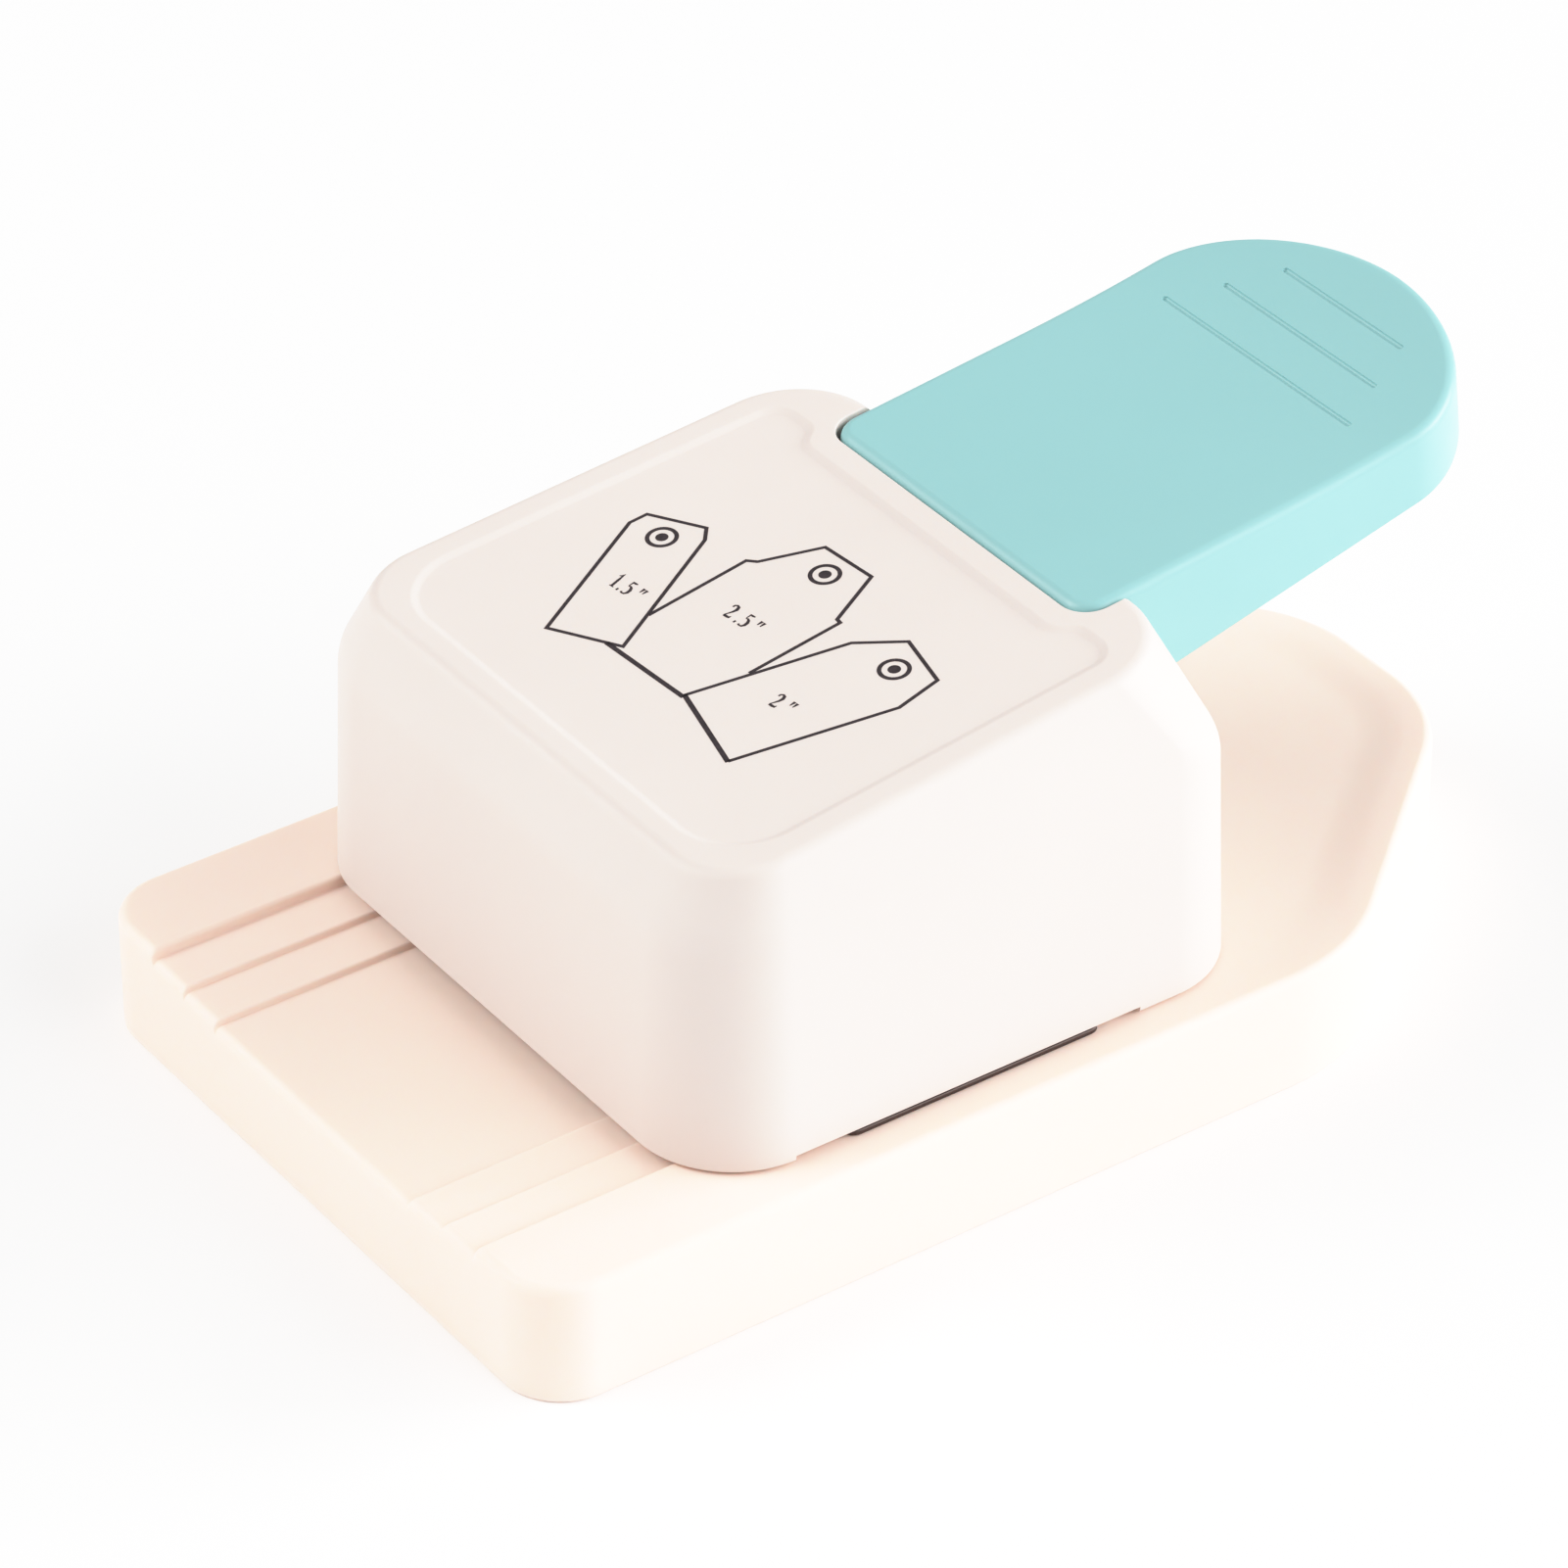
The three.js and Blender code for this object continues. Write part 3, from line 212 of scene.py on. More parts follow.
def arc(cx, cy, radius, start, end, steps):
    """Points on an arc, with angles in degrees."""
    angles = [math.radians(start + (end - start) * k / steps) for k in range(steps + 1)]
    return [(cx + radius * math.cos(a), cy + radius * math.sin(a)) for a in angles]


def quarter(steps=STEPS["edge"]):
    """Pairs (1 - cos, 1 - sin) of the angles from 0 to 90 degrees."""
    angles = [math.pi / 2 * k / steps for k in range(steps + 1)]
    return [(1 - math.cos(a), 1 - math.sin(a)) for a in angles]


def bend(a, corner, b, steps):
    """Points on a quadratic curve from a to b that is drawn towards the corner."""
    points = []
    for k in range(steps + 1):
        t = k / steps
        shares = ((1 - t) ** 2, 2 * t * (1 - t), t * t)
        points.append(tuple(sum(s * p[i] for s, p in zip(shares, (a, corner, b))) for i in range(len(a))))
    return points


def smoothstep(value, low, high):
    """A share that rises softly from 0 at low to 1 at high."""
    t = max(0, min(1, (value - low) / (high - low)))
    return t * t * (3 - 2 * t)


def outline(corners, inset=0.0, steps=STEPS["corner"]):
    """A rounded outline through corners (x, y, radius), anticlockwise, drawn in by inset."""
    points = []
    count = len(corners)
    for i, (x, y, radius) in enumerate(corners):
        here = Vector((x, y))
        way = (here - Vector(corners[i - 1][:2])).normalized()
        onward = (Vector(corners[(i + 1) % count][:2]) - here).normalized()
        left = Vector((-way.y, way.x))
        left_next = Vector((-onward.y, onward.x))
        mitre = (left + left_next) / (1 + left.dot(left_next))
        turn = 1 if way.cross(onward) >= 0 else -1
        r = max(radius - turn * inset, LEAST_RADIUS)
        centre = here + mitre * (inset + turn * r)
        start = math.degrees(math.atan2(-turn * left.y, -turn * left.x))
        sweep = math.degrees(math.acos(max(-1, min(1, way.dot(onward))))) * turn
        points += arc(centre.x, centre.y, r, start, start + sweep, steps)
    return points


def mirrored(right):
    """Corners on the right, front to back, and their mirror images on the left."""
    return right + [(-x, y, r) for x, y, r in reversed(right)]


def rectangle(half, front, back, radius, half_back=None, back_radius=None):
    """Corners of a rounded rectangle about the middle plane, which may narrow towards its back."""
    half_back = half if half_back is None else half_back
    back_radius = radius if back_radius is None else back_radius
    return mirrored([(half, front, radius), (half_back, back, back_radius)])


def new_object(name, points, faces):
    mesh = bpy.data.meshes.new(name)
    mesh.from_pydata(points, [], faces)
    made = bpy.data.objects.new(name, mesh)
    bpy.context.scene.collection.objects.link(made)
    return made


def loft(rings, caps="strips"):
    """Rings of points, from the lowest to the highest, skinned and closed.

    A cap of strips joins points that mirror each other, and a plain one is a single face.
    """
    count = len(rings[0])
    points = [p for ring in rings for p in ring]
    faces = []
    for r in range(len(rings) - 1):
        low = r * count
        for i in range(count):
            j = (i + 1) % count
            faces.append((low + i, low + j, low + count + j, low + count + i))
    top = (len(rings) - 1) * count
    if caps == "strips":
        i, j = 0, count - 1
        while j - i > 1:
            faces.append((j, j - 1, i + 1, i) if j - i > 2 else (j, i + 1, i))
            faces.append(
                (top + i, top + i + 1, top + j - 1, top + j) if j - i > 2 else (top + i, top + i + 1, top + j)
            )
            i, j = i + 1, j - 1
    else:
        faces.append(tuple(reversed(range(count))))
        faces.append(tuple(range(top, top + count)))
    return new_object("form", points, faces)


def lift(points, height):
    """Points in plan, raised to a height that may depend on how far back they lie."""
    return [(x, y, height(y) if callable(height) else height) for x, y in points]


def prism(points, low, high, caps="strips"):
    return loft([lift(points, low), lift(points, high)], caps)


def box(x0, x1, y0, y1, z0, z1):
    return prism([(x1, y0), (x1, y1), (x0, y1), (x0, y0)], z0, z1)


def disc(x, y, radius, steps=STEPS["circle"]):
    """A circle's points, placed so that each has its mirror image."""
    half_step = 180 / steps
    return arc(x, y, radius, -90 + half_step, 270 - half_step, steps - 1)


def pole(radius, x, y, low, high):
    return prism(disc(x, y, radius), low, high)


def combine(body, others, operation):
    """Joins or cuts body with the others, which are used up."""
    for other in others:
        step = body.modifiers.new("step", "BOOLEAN")
        step.operation = operation
        step.solver = "EXACT"
        step.object = other
        evaluated = body.evaluated_get(bpy.context.evaluated_depsgraph_get())
        made = bpy.data.meshes.new_from_object(evaluated)
        body.modifiers.clear()
        old = body.data
        body.data = made
        bpy.data.meshes.remove(old)
        bpy.data.objects.remove(other)
    return body


def cut(body, *others):
    return combine(body, others, "DIFFERENCE")


def join(body, *others):
    return combine(body, others, "UNION")


def both_sides(make):
    """What make gives for the left side and for the right."""
    return [make(-1), make(1)]


def across(side, near, far):
    """A band in X on one side, lowest first."""
    return sorted((side * near, side * far))


# Base tray


BASE_CORNERS = mirrored([
    (BASE["half"], 0, BASE["front_radius"]),
    (BASE["half"], BASE["taper"], BASE["shoulder_radius"]),
    (BASE["nose_half"], BASE["length"], BASE["nose_radius"]),
])


def base_body():
    """The base's outer form, with rounds at its foot and its top edge."""
    foot, edge, height = BASE["foot"], BASE["edge"], BASE["height"]
    rings = [lift(outline(BASE_CORNERS, foot * b), foot * a) for a, b in quarter()]
    rings += [lift(outline(BASE_CORNERS, edge * a), height - edge * b) for a, b in quarter()]
    return loft(rings)


def guide_profile(drop):
    """Half of the stepped section, from the middle outwards, as (x, z) lowered by drop."""
    levels = [BASE["height"]]
    for depth in GUIDES["depths"]:
        levels.append(levels[-1] - depth)
    points = []
    for width, high, low in reversed(list(zip(GUIDES["widths"], levels, levels[1:]))):
        x = width / 2
        rise = high - low
        corner = rise * GUIDES["corner_share"]
        crest = rise * GUIDES["crest_share"]
        lean = GUIDES["lean"]
        points += arc(x - corner, low + corner, corner, -90, 0, STEPS["bead"])
        points += arc(x + lean + crest, high - crest, crest, 180, 90, STEPS["edge"])
    return [(x, z - drop) for x, z in points]


def guide_channel():
    """The stepped channel that guides the strips, which falls away over the front edge."""
    edge = BASE["edge"]
    sections = [(-OVER, edge)] + [(edge * a, edge * b) for a, b in quarter()] + [(WINDOW["front"], 0)]
    rings = []
    for y, drop in sections:
        right = guide_profile(drop)
        right.append((right[-1][0], BASE["height"] + OVER))
        ring = [(x, y, z) for x, z in right] + [(-x, y, z) for x, z in reversed(right)]
        rings.append(ring)
    return loft([list(reversed(ring)) for ring in rings])


def with_slanted_sides(points):
    """The base's outline with points added along its slanted sides, after its second and fourth corner."""
    corner = STEPS["corner"] + 1
    starts = (2 * corner, 4 * corner)
    made = []
    for i, (a, b) in enumerate(zip(points, points[1:] + points[:1])):
        made.append(a)
        if i + 1 in starts:
            for k in range(1, STEPS["side"]):
                t = k / STEPS["side"]
                made.append((a[0] + (b[0] - a[0]) * t, a[1] + (b[1] - a[1]) * t))
    return made


def dish():
    """A shallow hollow behind the housing, soft all round, that rises to the top of the base at its front."""
    top = BASE["height"] + DISH["rise"]

    def floor(inset):
        drop = DISH["depth"] * smoothstep(inset, DISH["lip"], DISH["lip"] + DISH["slope"])
        return lambda y: top - drop * smoothstep(y, DISH["front"], DISH["front"] + DISH["ramp"])

    rings = []
    for k in range(STEPS["side"], -1, -1):
        inset = DISH["lip"] + DISH["slope"] * k / STEPS["side"]
        rings.append(lift(with_slanted_sides(outline(BASE_CORNERS, inset)), floor(inset)))
    rings.append(lift(with_slanted_sides(outline(BASE_CORNERS, DISH["lip"])), top + OVER))
    return loft(rings)


def underside():
    """The room under the base, less its ribs and the bosses of the cover screws."""
    room = prism(outline(BASE_CORNERS, BASE["wall"]), -OVER, BASE["ceiling"])
    rib, top, reach = BASE["rib"], BASE["ceiling"], BASE["half"]
    rear, front = WINDOW["back"] + GAP, BASE["front_rib"] - GAP
    back_rib = DISH["rib_y"] + BASE["wall"]
    stretches = ((rear, BASE["length"]), (0, front))
    lanes = (-reach / 2, 0, reach / 2)
    bands = [(x - rib / 2, x + rib / 2, *stretch) for x in lanes for stretch in stretches]
    bands += [(-reach, reach, y, y + rib) for y in (rear, back_rib, front - rib, (front - rib) / 2)]
    ribs = [box(*band, top - BASE["rib_depth"], top + OVER) for band in bands]
    bosses = [pole(BASE["boss"], side * x, y, BASE["boss_foot"], BASE["height"])
              for x, y, _ in COVER_SCREWS["places"] for side in (-1, 1)]
    return cut(room, *ribs, *bosses)


def ear_slot(side, high):
    """The slot that an ear of the frame stands in."""
    x0, x1 = across(side, EARS["inside"] - GAP, EARS["outside"] + GAP)
    return box(x0, x1, EARS["front"] - GAP, EARS["back"] + GAP, 0, high)


def base_tray():
    body = base_body()
    height = BASE["height"] + OVER
    reach = WINDOW["half"] + GAP
    window = box(-reach, reach, WINDOW["front"] - GAP, WINDOW["back"] + GAP, WINDOW["floor"], height)
    ears = both_sides(lambda side: ear_slot(side, height))
    holes = []
    for x, y, _ in COVER_SCREWS["places"]:
        for side in (-1, 1):
            holes.append(pole(COVER_SCREWS["shank"] + SLIP, side * x, y, -OVER, height))
            holes.append(pole(COVER_SCREWS["head"] + SLIP, side * x, y, -OVER, COVER_SCREWS["sink"]))
    h = FRAME_HOLES
    holes += both_sides(lambda side: pole(h["radius"], side * h["x"], h["y"], 0, h["top"]))
    return cut(body, underside(), guide_channel(), dish(), window, *ears, *holes)


# Housing


def shoulder_height(y):
    """The height of the crease under the sloped band, which is highest near the back."""
    s = SHOULDER
    if y < s["crest_y"]:
        return s["front"] + (s["crest"] - s["front"]) * smoothstep(y, CROWN["front"], s["crest_y"])
    return s["crest"] + (s["rear"] - s["crest"]) * smoothstep(y, s["crest_y"], HOUSING["back"])


CROWN_SLOPE = math.tan(math.radians(CROWN["slope"]))


def crown_height(y):
    return CROWN["height"] + CROWN_SLOPE * (y - CROWN["front"])


def housing_rings(wall, roof):
    """The housing's foot, crease and top edge, drawn in by the wall and the roof."""
    h, c = HOUSING, CROWN
    foot = outline(rectangle(h["half"], h["front"], h["back"], h["corner"]), wall)
    draft = h["draft"]
    waist = outline(
        rectangle(h["half"] - draft, h["front"] + draft, h["back"] - draft, h["corner"] - draft), wall,
    )
    top = rectangle(
        c["half_front"], c["front"], c["back"], c["front_radius"], c["half_back"], c["back_radius"],
    )
    shoulder = lift(waist, lambda y: shoulder_height(y) - wall / 2)
    crown = lift(outline(top, wall), lambda y: crown_height(y) - roof)
    return foot, shoulder, crown, top


def towards(a, b, distance):
    """The point on the way from a to b at that distance from a."""
    a, b = Vector(a), Vector(b)
    return tuple(a + (b - a).normalized() * distance)


def housing_body():
    """The housing's outer form, with rounds along its crease and its top edge."""
    foot, shoulder, crown, top = housing_rings(0, 0)
    h, lip, soft, edge = HOUSING, HOUSING["lip"], SHOULDER["round"], CROWN["edge"]
    plan = rectangle(h["half"], h["front"], h["back"], h["corner"])
    rings = [lift(outline(plan, lip * b), h["bottom"] + lip * a) for a, b in quarter(STEPS["lip"])]
    low = lift(foot, h["bottom"] + lip)
    inner = lift(outline(top, edge), crown_height)
    columns = []
    for a, b, c, d in zip(low, shoulder, crown, inner):
        column = bend(towards(b, a, soft), b, towards(b, c, soft), STEPS["bend"])
        column += bend(towards(c, b, edge), c, d, STEPS["edge"])
        columns.append(column)
    rings += [list(ring) for ring in zip(*columns)]
    return loft(rings)


def housing_hollow():
    foot, shoulder, crown, _ = housing_rings(HOUSING["wall"], HOUSING["roof"])
    return loft([lift(foot, HOUSING["bottom"] - OVER), shoulder, crown])


def notch():
    """The gap that the lever stands in, with a rounded rim where it opens through the top."""
    half, front = LEVER["half"] + LEVER["fit"], LEVER["front"] - LEVER["fit"]
    plan = rectangle(half, front, HOUSING["back"] + OVER, LEVER["front_radius"])
    rim = LEVER["rim"]
    rings = [lift(outline(plan), HOUSING["notch_floor"])]
    for a, b in quarter():
        rings.append(lift(outline(plan, -rim * a), lambda y, b=b: crown_height(y) - rim * b))
    rings.append(lift(outline(plan, -rim), lambda y: crown_height(y) + OVER * 2))
    return loft(rings)


PANEL_CORNERS = mirrored([
    (PANEL["half_front"], PANEL["front"], PANEL["radius"]),
    (PANEL["half_back"], PANEL["back"], PANEL["back_radius"]),
    (PANEL["notch_half"] + PANEL["lobe"], PANEL["back"], PANEL["lobe_radius"]),
    (PANEL["notch_half"], PANEL["notch_line"], PANEL["back_radius"]),
])


def panel():
    """The shallow recess that the print lies in, with soft edges."""
    rings = []
    depth, slope = PANEL["depth"], PANEL["slope"]
    for k in range(STEPS["slope"] + 1):
        t = k / STEPS["slope"]
        rise = depth * smoothstep(t, 0, 1)
        ring = outline(PANEL_CORNERS, slope * (1 - 2 * t))
        rings.append(lift(ring, lambda y, rise=rise: crown_height(y) - depth + rise))
    rings.append(lift(outline(PANEL_CORNERS, -slope), lambda y: crown_height(y) + OVER))
    return loft(rings, caps="plain")


def arm_top(y):
    """The height of the lever arm's back when the lever is up."""
    tilt = math.radians(LEVER["tilt"])
    stand = LEVER["skin"] + ARM["standoff"] + GAP
    return LEVER["height"] + math.tan(tilt) * (y - LEVER["front"]) - stand / math.cos(tilt)


def roof_rib(side):
    """A rib under the roof that ends just above the lever's arm."""
    x0, x1 = across(side, RIBS["x"] - RIBS["thick"] / 2, RIBS["x"] + RIBS["thick"] / 2)
    low = arm_top(RIBS["back"]) + RIBS["clearance"]
    return box(x0, x1, RIBS["front"], RIBS["back"], low, crown_height(RIBS["front"]) - HOUSING["roof"] / 2)


def side_slots(side):
    """The slot along a side of the housing and the room behind it for the stripper plate's wing."""
    s = SLOT
    near = HOUSING["half"] - s["depth"]
    x0, x1 = across(side, near, HOUSING["half"] + OVER)
    w0, w1 = across(side, near, s["wing"])
    return [
        box(x0, x1, s["front"], s["back"], 0, HOUSING["bottom"] + s["height"]),
        box(w0, w1, s["wing_front"], s["wing_back"], 0, s["wing_top"]),
    ]


def housing():
    body = cut(housing_body(), housing_hollow())
    for x, y, top in COVER_SCREWS["places"]:
        for side in (-1, 1):
            boss = pole(CORNER_BOSS, side * x, y, HOUSING["bottom"], top)
            body = join(body, combine(boss, [housing_body()], "INTERSECT"))
    ribs = both_sides(roof_rib)
    slots = side_slots(-1) + side_slots(1)
    radius, top = COVER_SCREWS["shank"] + SLIP, COVER_SCREWS["sink"] + COVER_SCREWS["length"]
    holes = [pole(radius, side * x, y, 0, top) for x, y, _ in COVER_SCREWS["places"] for side in (-1, 1)]
    return cut(join(body, *ribs), notch(), *slots, *holes, panel())


# Stripper plate, whose wings show as a dark line in the side slots


def tag_corner(side, margin, low, high):
    """The corner that is cut off a strip, wider by the margin, from its low to its high end."""
    half_top = TAG["top"] - TAG["slant"] * (TAG["back"] - TAG["line"])
    half_low = TAG["top"] + TAG["slant"] * (TAG["line"] - TAG["shoulder"])
    corners = [
        (half_low, TAG["shoulder"], GAP), (TAG["outer"], TAG["shoulder"], GAP),
        (TAG["outer"], TAG["back"], GAP), (half_top, TAG["back"], GAP),
    ]
    points = [(side * x, y) for x, y in outline(corners, -margin, STEPS["small"])]
    return prism(points if side > 0 else points[::-1], low, high, caps="plain")


def sheet_blank(half, low, high):
    """A flat blank across the punch with its edges broken."""
    edge = STRIPPER["edge"]
    plan = rectangle(half, STRIPPER["front"], STRIPPER["back"], STRIPPER["corner"])
    levels = ((edge, low), (0, low + edge), (0, high - edge), (edge, high))
    return loft([lift(outline(plan, inset, STEPS["small"]), z) for inset, z in levels])


def stripper_plate():
    low, high = STRIPPER["low"], STRIPPER["low"] + STRIPPER["thick"]
    shy = STRIPPER["edge"] / 2
    above = HOUSING["notch_floor"]
    blank = sheet_blank(STRIPPER["wing"], low, high)
    lip = sheet_blank(STRIPPER["lip"], STRIPPER["lip_low"], STRIPPER["lip_high"])
    tail = box(-WINDOW["half"], WINDOW["half"], TAG["line"], WINDOW["back"], low + shy, high - shy)
    openings = both_sides(lambda side: tag_corner(side, SLIP, 0, above))
    openings += both_sides(lambda side: ear_slot(side, above))
    holes = [(0, TAG["hole_y"], TAG["hole"] + SLIP)]
    holes += [(side * SPRING["x"], SPRING["y"], STRIPPER["post"] + SLIP) for side in (-1, 1)]
    holes += [(side * FRAME_HOLES["x"], FRAME_HOLES["rear_y"], FRAME_HOLES["radius"]) for side in (-1, 1)]
    openings += [pole(radius, x, y, 0, above) for x, y, radius in holes]
    return cut(join(blank, lip, tail), *openings)


# Lever, drawn in its own frame: Y along its top from its front edge, Z square to its top


def lever_outline(inset):
    """The lever in plan: rounded front corners, straight sides and a nose on a superellipse."""
    half, radius = LEVER["half"], LEVER["front_radius"]
    side_end = LEVER["length"] - LEVER["nose"]
    power = LEVER["power"]
    right = arc(half - radius, radius, radius - inset, -90, 0, STEPS["corner"])
    for k in range(1, STEPS["side"]):
        right.append((half - inset, radius + (side_end - radius) * k / STEPS["side"]))
    for k in range(STEPS["nose"] + 1):
        t = math.pi / 2 * k / STEPS["nose"]
        width, reach = max(math.cos(t), 0) ** (2 / power), math.sin(t) ** (2 / power)
        outward = Vector((width ** (power - 1) / half, reach ** (power - 1) / LEVER["nose"])).normalized()
        right.append((half * width - inset * outward.x, side_end + LEVER["nose"] * reach - inset * outward.y))
    return right + [(-x, y) for x, y in reversed(right[:-1])]


def lever_rise(y):
    """How far the top curves up towards the nose."""
    return max(y - LEVER["rise_start"], 0) ** 2 / (2 * LEVER["rise_radius"])


def lever_foot(y):
    """The height of the side walls' lower edge, which rises towards the nose."""
    return -LEVER["front_wall"] + LEVER["taper"] * y


def lever_body():
    foot, edge = LEVER["foot"], LEVER["edge"]
    rings = []
    for a, b in quarter(STEPS["bead"]):
        rings.append(lift(lever_outline(foot * b), lambda y, a=a: lever_foot(y) + foot * a))
    for a, b in quarter():
        rings.append(lift(lever_outline(edge * a), lambda y, b=b: lever_rise(y) - edge * b))
    return loft(rings)


def grip_groove(half, y):
    """A groove with a round bottom and softened edges."""
    radius = GRIP["width"] / 2
    plan = rectangle(half, y - radius, y + radius, radius * GRIP["end_share"])
    top = lever_rise(y)
    rings = []
    for a, b in quarter()[GRIP["flat_steps"]:-1]:
        rings.append(lift(outline(plan, radius * b, STEPS["groove"]), top - GRIP["depth"] * (1 - a)))
    rings.append(lift(outline(plan, 0, STEPS["groove"]), top + OVER))
    return loft(rings)


def lever():
    """An open tray with bosses for the arm's screws, a doorway for the arm and the grip's grooves."""
    wall, skin = LEVER["wall"], LEVER["skin"]
    arm_height = -(skin + ARM["standoff"] + GAP)
    hollow = loft([
        lift(lever_outline(wall), lambda y: lever_foot(y) - OVER),
        lift(lever_outline(wall), lambda y: lever_rise(y) - skin),
    ])
    reach = ARM["half"] + LEVER["fit"]
    doorway = box(
        -reach, reach, -OVER, wall + OVER, -LEVER["front_wall"] - OVER, arm_height + LEVER["fit"],
    )
    bosses = [pole(LEVER["boss"], 0, y, arm_height + GAP, GAP - skin) for y in ARM["screw_places"]]
    holes = [pole(ARM["shank"], 0, y, arm_height - OVER, -ARM["skin_left"]) for y in ARM["screw_places"]]
    grooves = [grip_groove(half, GRIP["first"] + GRIP["pitch"] * i) for i, half in enumerate(GRIP["halves"])]
    body = cut(lever_body(), hollow, doorway)
    return cut(join(body, *bosses), *holes, *grooves)


LEVER_PLACE = Matrix.Translation((0, LEVER["front"], LEVER["height"])) @ Matrix.Rotation(
    math.radians(LEVER["tilt"]), 4, "X"
)


# Return springs


def spring(side):
    """A coil of round wire that stands between its two seats."""
    wire, low, high = SPRING["wire"] / 2, SPRING["low"], SPRING["high"]
    steps = SPRING["turns"] * SPRING["steps"]
    rings = []
    for k in range(steps + 1):
        t = k / steps
        a = 2 * math.pi * SPRING["turns"] * t
        middle = Vector((
            side * SPRING["x"] + SPRING["radius"] * math.cos(a), SPRING["y"] + SPRING["radius"] * math.sin(a),
            low + wire + (high - low - 2 * wire) * t,
        ))
        outward = Vector((math.cos(a), math.sin(a), 0))
        rings.append([
            tuple(middle + outward * wire * math.cos(b) + Vector((0, 0, wire * math.sin(b))))
            for b in (2 * math.pi * i / SPRING["sides"] for i in range(SPRING["sides"]))
        ])
    return loft(rings, caps="plain")


# Print on the top: outlines of three tags, their eyelets and sizes


def ink_point(p, height):
    """A point of the print, in plan, set at a height over the panel's floor."""
    x = p[0] + PRINT_SHIFT[0]
    y = p[1] + PRINT_SHIFT[1]
    return (x, y, crown_height(y) - PANEL["depth"] + height)


def stroke(points, width=None, widths=None):
    """A flat line of ink through points in plan, as a thin solid on the panel's floor.

    It is closed where it ends at its start. Where widths are given, it swells and thins.
    """
    closed = points[0] == points[-1]
    points = points[:-1] if closed else points
    count = len(points)
    widths = widths or [width] * count
    left, right = [], []
    for i, (x, y) in enumerate(points):
        here = Vector((x, y))
        before = Vector(points[i - 1]) if closed or i else None
        after = Vector(points[(i + 1) % count]) if closed or i < count - 1 else None
        way = (here - before).normalized() if before is not None else (after - here).normalized()
        onward = (after - here).normalized() if after is not None else way
        left_now = Vector((-way.y, way.x))
        left_next = Vector((-onward.y, onward.x))
        mitre = (left_now + left_next) / max(1 + left_now.dot(left_next), MITRE_LIMIT)
        left.append(here + mitre * widths[i] / 2)
        right.append(here - mitre * widths[i] / 2)
    low = [ink_point(p, -INK_DEPTH) for p in left + right]
    high = [ink_point(p, INK_DEPTH) for p in left + right]
    faces = []
    up = 2 * count
    for i in range(count if closed else count - 1):
        j = (i + 1) % count
        l0, l1, r0, r1 = i, j, count + i, count + j
        faces += [
            (l0, l1, r1, r0), (up + r0, up + r1, up + l1, up + l0),
            (l0, up + l0, up + l1, l1), (r1, up + r1, up + r0, r0),
        ]
    if not closed:
        faces.append((0, count, up + count, up))
        faces.append((count - 1, up + count - 1, up + 2 * count - 1, 2 * count - 1))
    return new_object("ink", low + high, faces)


def spot(x, y, radius):
    """A round dot of ink."""
    rings = [[ink_point(p, z) for p in disc(x, y, radius)] for z in (-INK_DEPTH, INK_DEPTH)]
    return loft(rings)


def eyelet(x, y):
    """The mark of a tag's hole: a ring round a dot."""
    ring = disc(x, y, EYELET["ring"])
    return [stroke(ring + ring[:1], EYELET["line"]), spot(x, y, EYELET["dot"])]


def written(text, x, y):
    """A size in slanted numerals, each built from strokes that swell and thin."""
    size = LETTER["size"]
    turn = math.radians(LETTER["turn"])
    cos, sin = math.cos(turn), math.sin(turn)
    strokes = []
    pen = 0.0
    for mark in text:
        advance, lines = GLYPH_SHARES[mark]
        for line in lines:
            placed = []
            for across_share, up_share, _ in line:
                u = (pen + across_share + LETTER["slant"] * up_share) * size * LETTER["narrow"]
                v = up_share * size
                placed.append((x + u * cos - v * sin, y + u * sin + v * cos))
            strokes.append(stroke(placed, widths=[w * size * LETTER["weight"] for _, _, w in line]))
        pen += advance
    return strokes


def finish_print(parts, name):
    """Joins closed forms of ink into one piece without cutting them."""
    whole = bmesh.new()
    for part in parts:
        whole.from_mesh(part.data)
        bpy.data.objects.remove(part)
    mesh = bpy.data.meshes.new(name)
    whole.to_mesh(mesh)
    whole.free()
    made = bpy.data.objects.new(name, mesh)
    bpy.context.scene.collection.objects.link(made)
    finish_piece(made, name, "base", INK)


def print_pieces():
    for name, tag in TAGS.items():
        outlines = [stroke(line, width) for line, width in tag["lines"]]
        finish_print(outlines + eyelet(*tag["eyelet"]), f"print_tag_{name}")
        finish_print(written(tag["text"], *tag["text_at"]), f"print_size_{name}")


# Finishing a piece


def finish_piece(piece, name, body, material, place=None, replaced=(), sharp=SHARP["shell"]):
    """Puts a drawn form in the shared frame and gives it its name, body and material."""
    mesh = piece.data
    if place is not None:
        mesh.transform(place)
    mesh.transform(TO_SHARED)
    tidy = bmesh.new()
    tidy.from_mesh(mesh)
    bmesh.ops.remove_doubles(tidy, verts=tidy.verts, dist=WELD * MM)
    bmesh.ops.dissolve_degenerate(tidy, edges=tidy.edges, dist=WELD * MM)
    bmesh.ops.recalc_face_normals(tidy, faces=tidy.faces)
    tidy.to_mesh(mesh)
    tidy.free()
    mesh.shade_smooth()
    mesh.set_sharp_from_angle(angle=math.radians(sharp))
    mesh.materials.clear()
    mesh.materials.append(material)
    piece.name = name
    shading = piece.modifiers.new("shading", "WEIGHTED_NORMAL")
    shading.keep_sharp = True
    shading.weight = NORMAL_WEIGHT
    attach(piece, body)
    if replaced:
        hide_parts(*replaced)
    return piece


# Materials

# Noise scales are in features a metre, depths and reaches in metres, and a span is the part of the
# noise that counts. Dark and pale are shares of the colour, below and above offsets of the roughness.

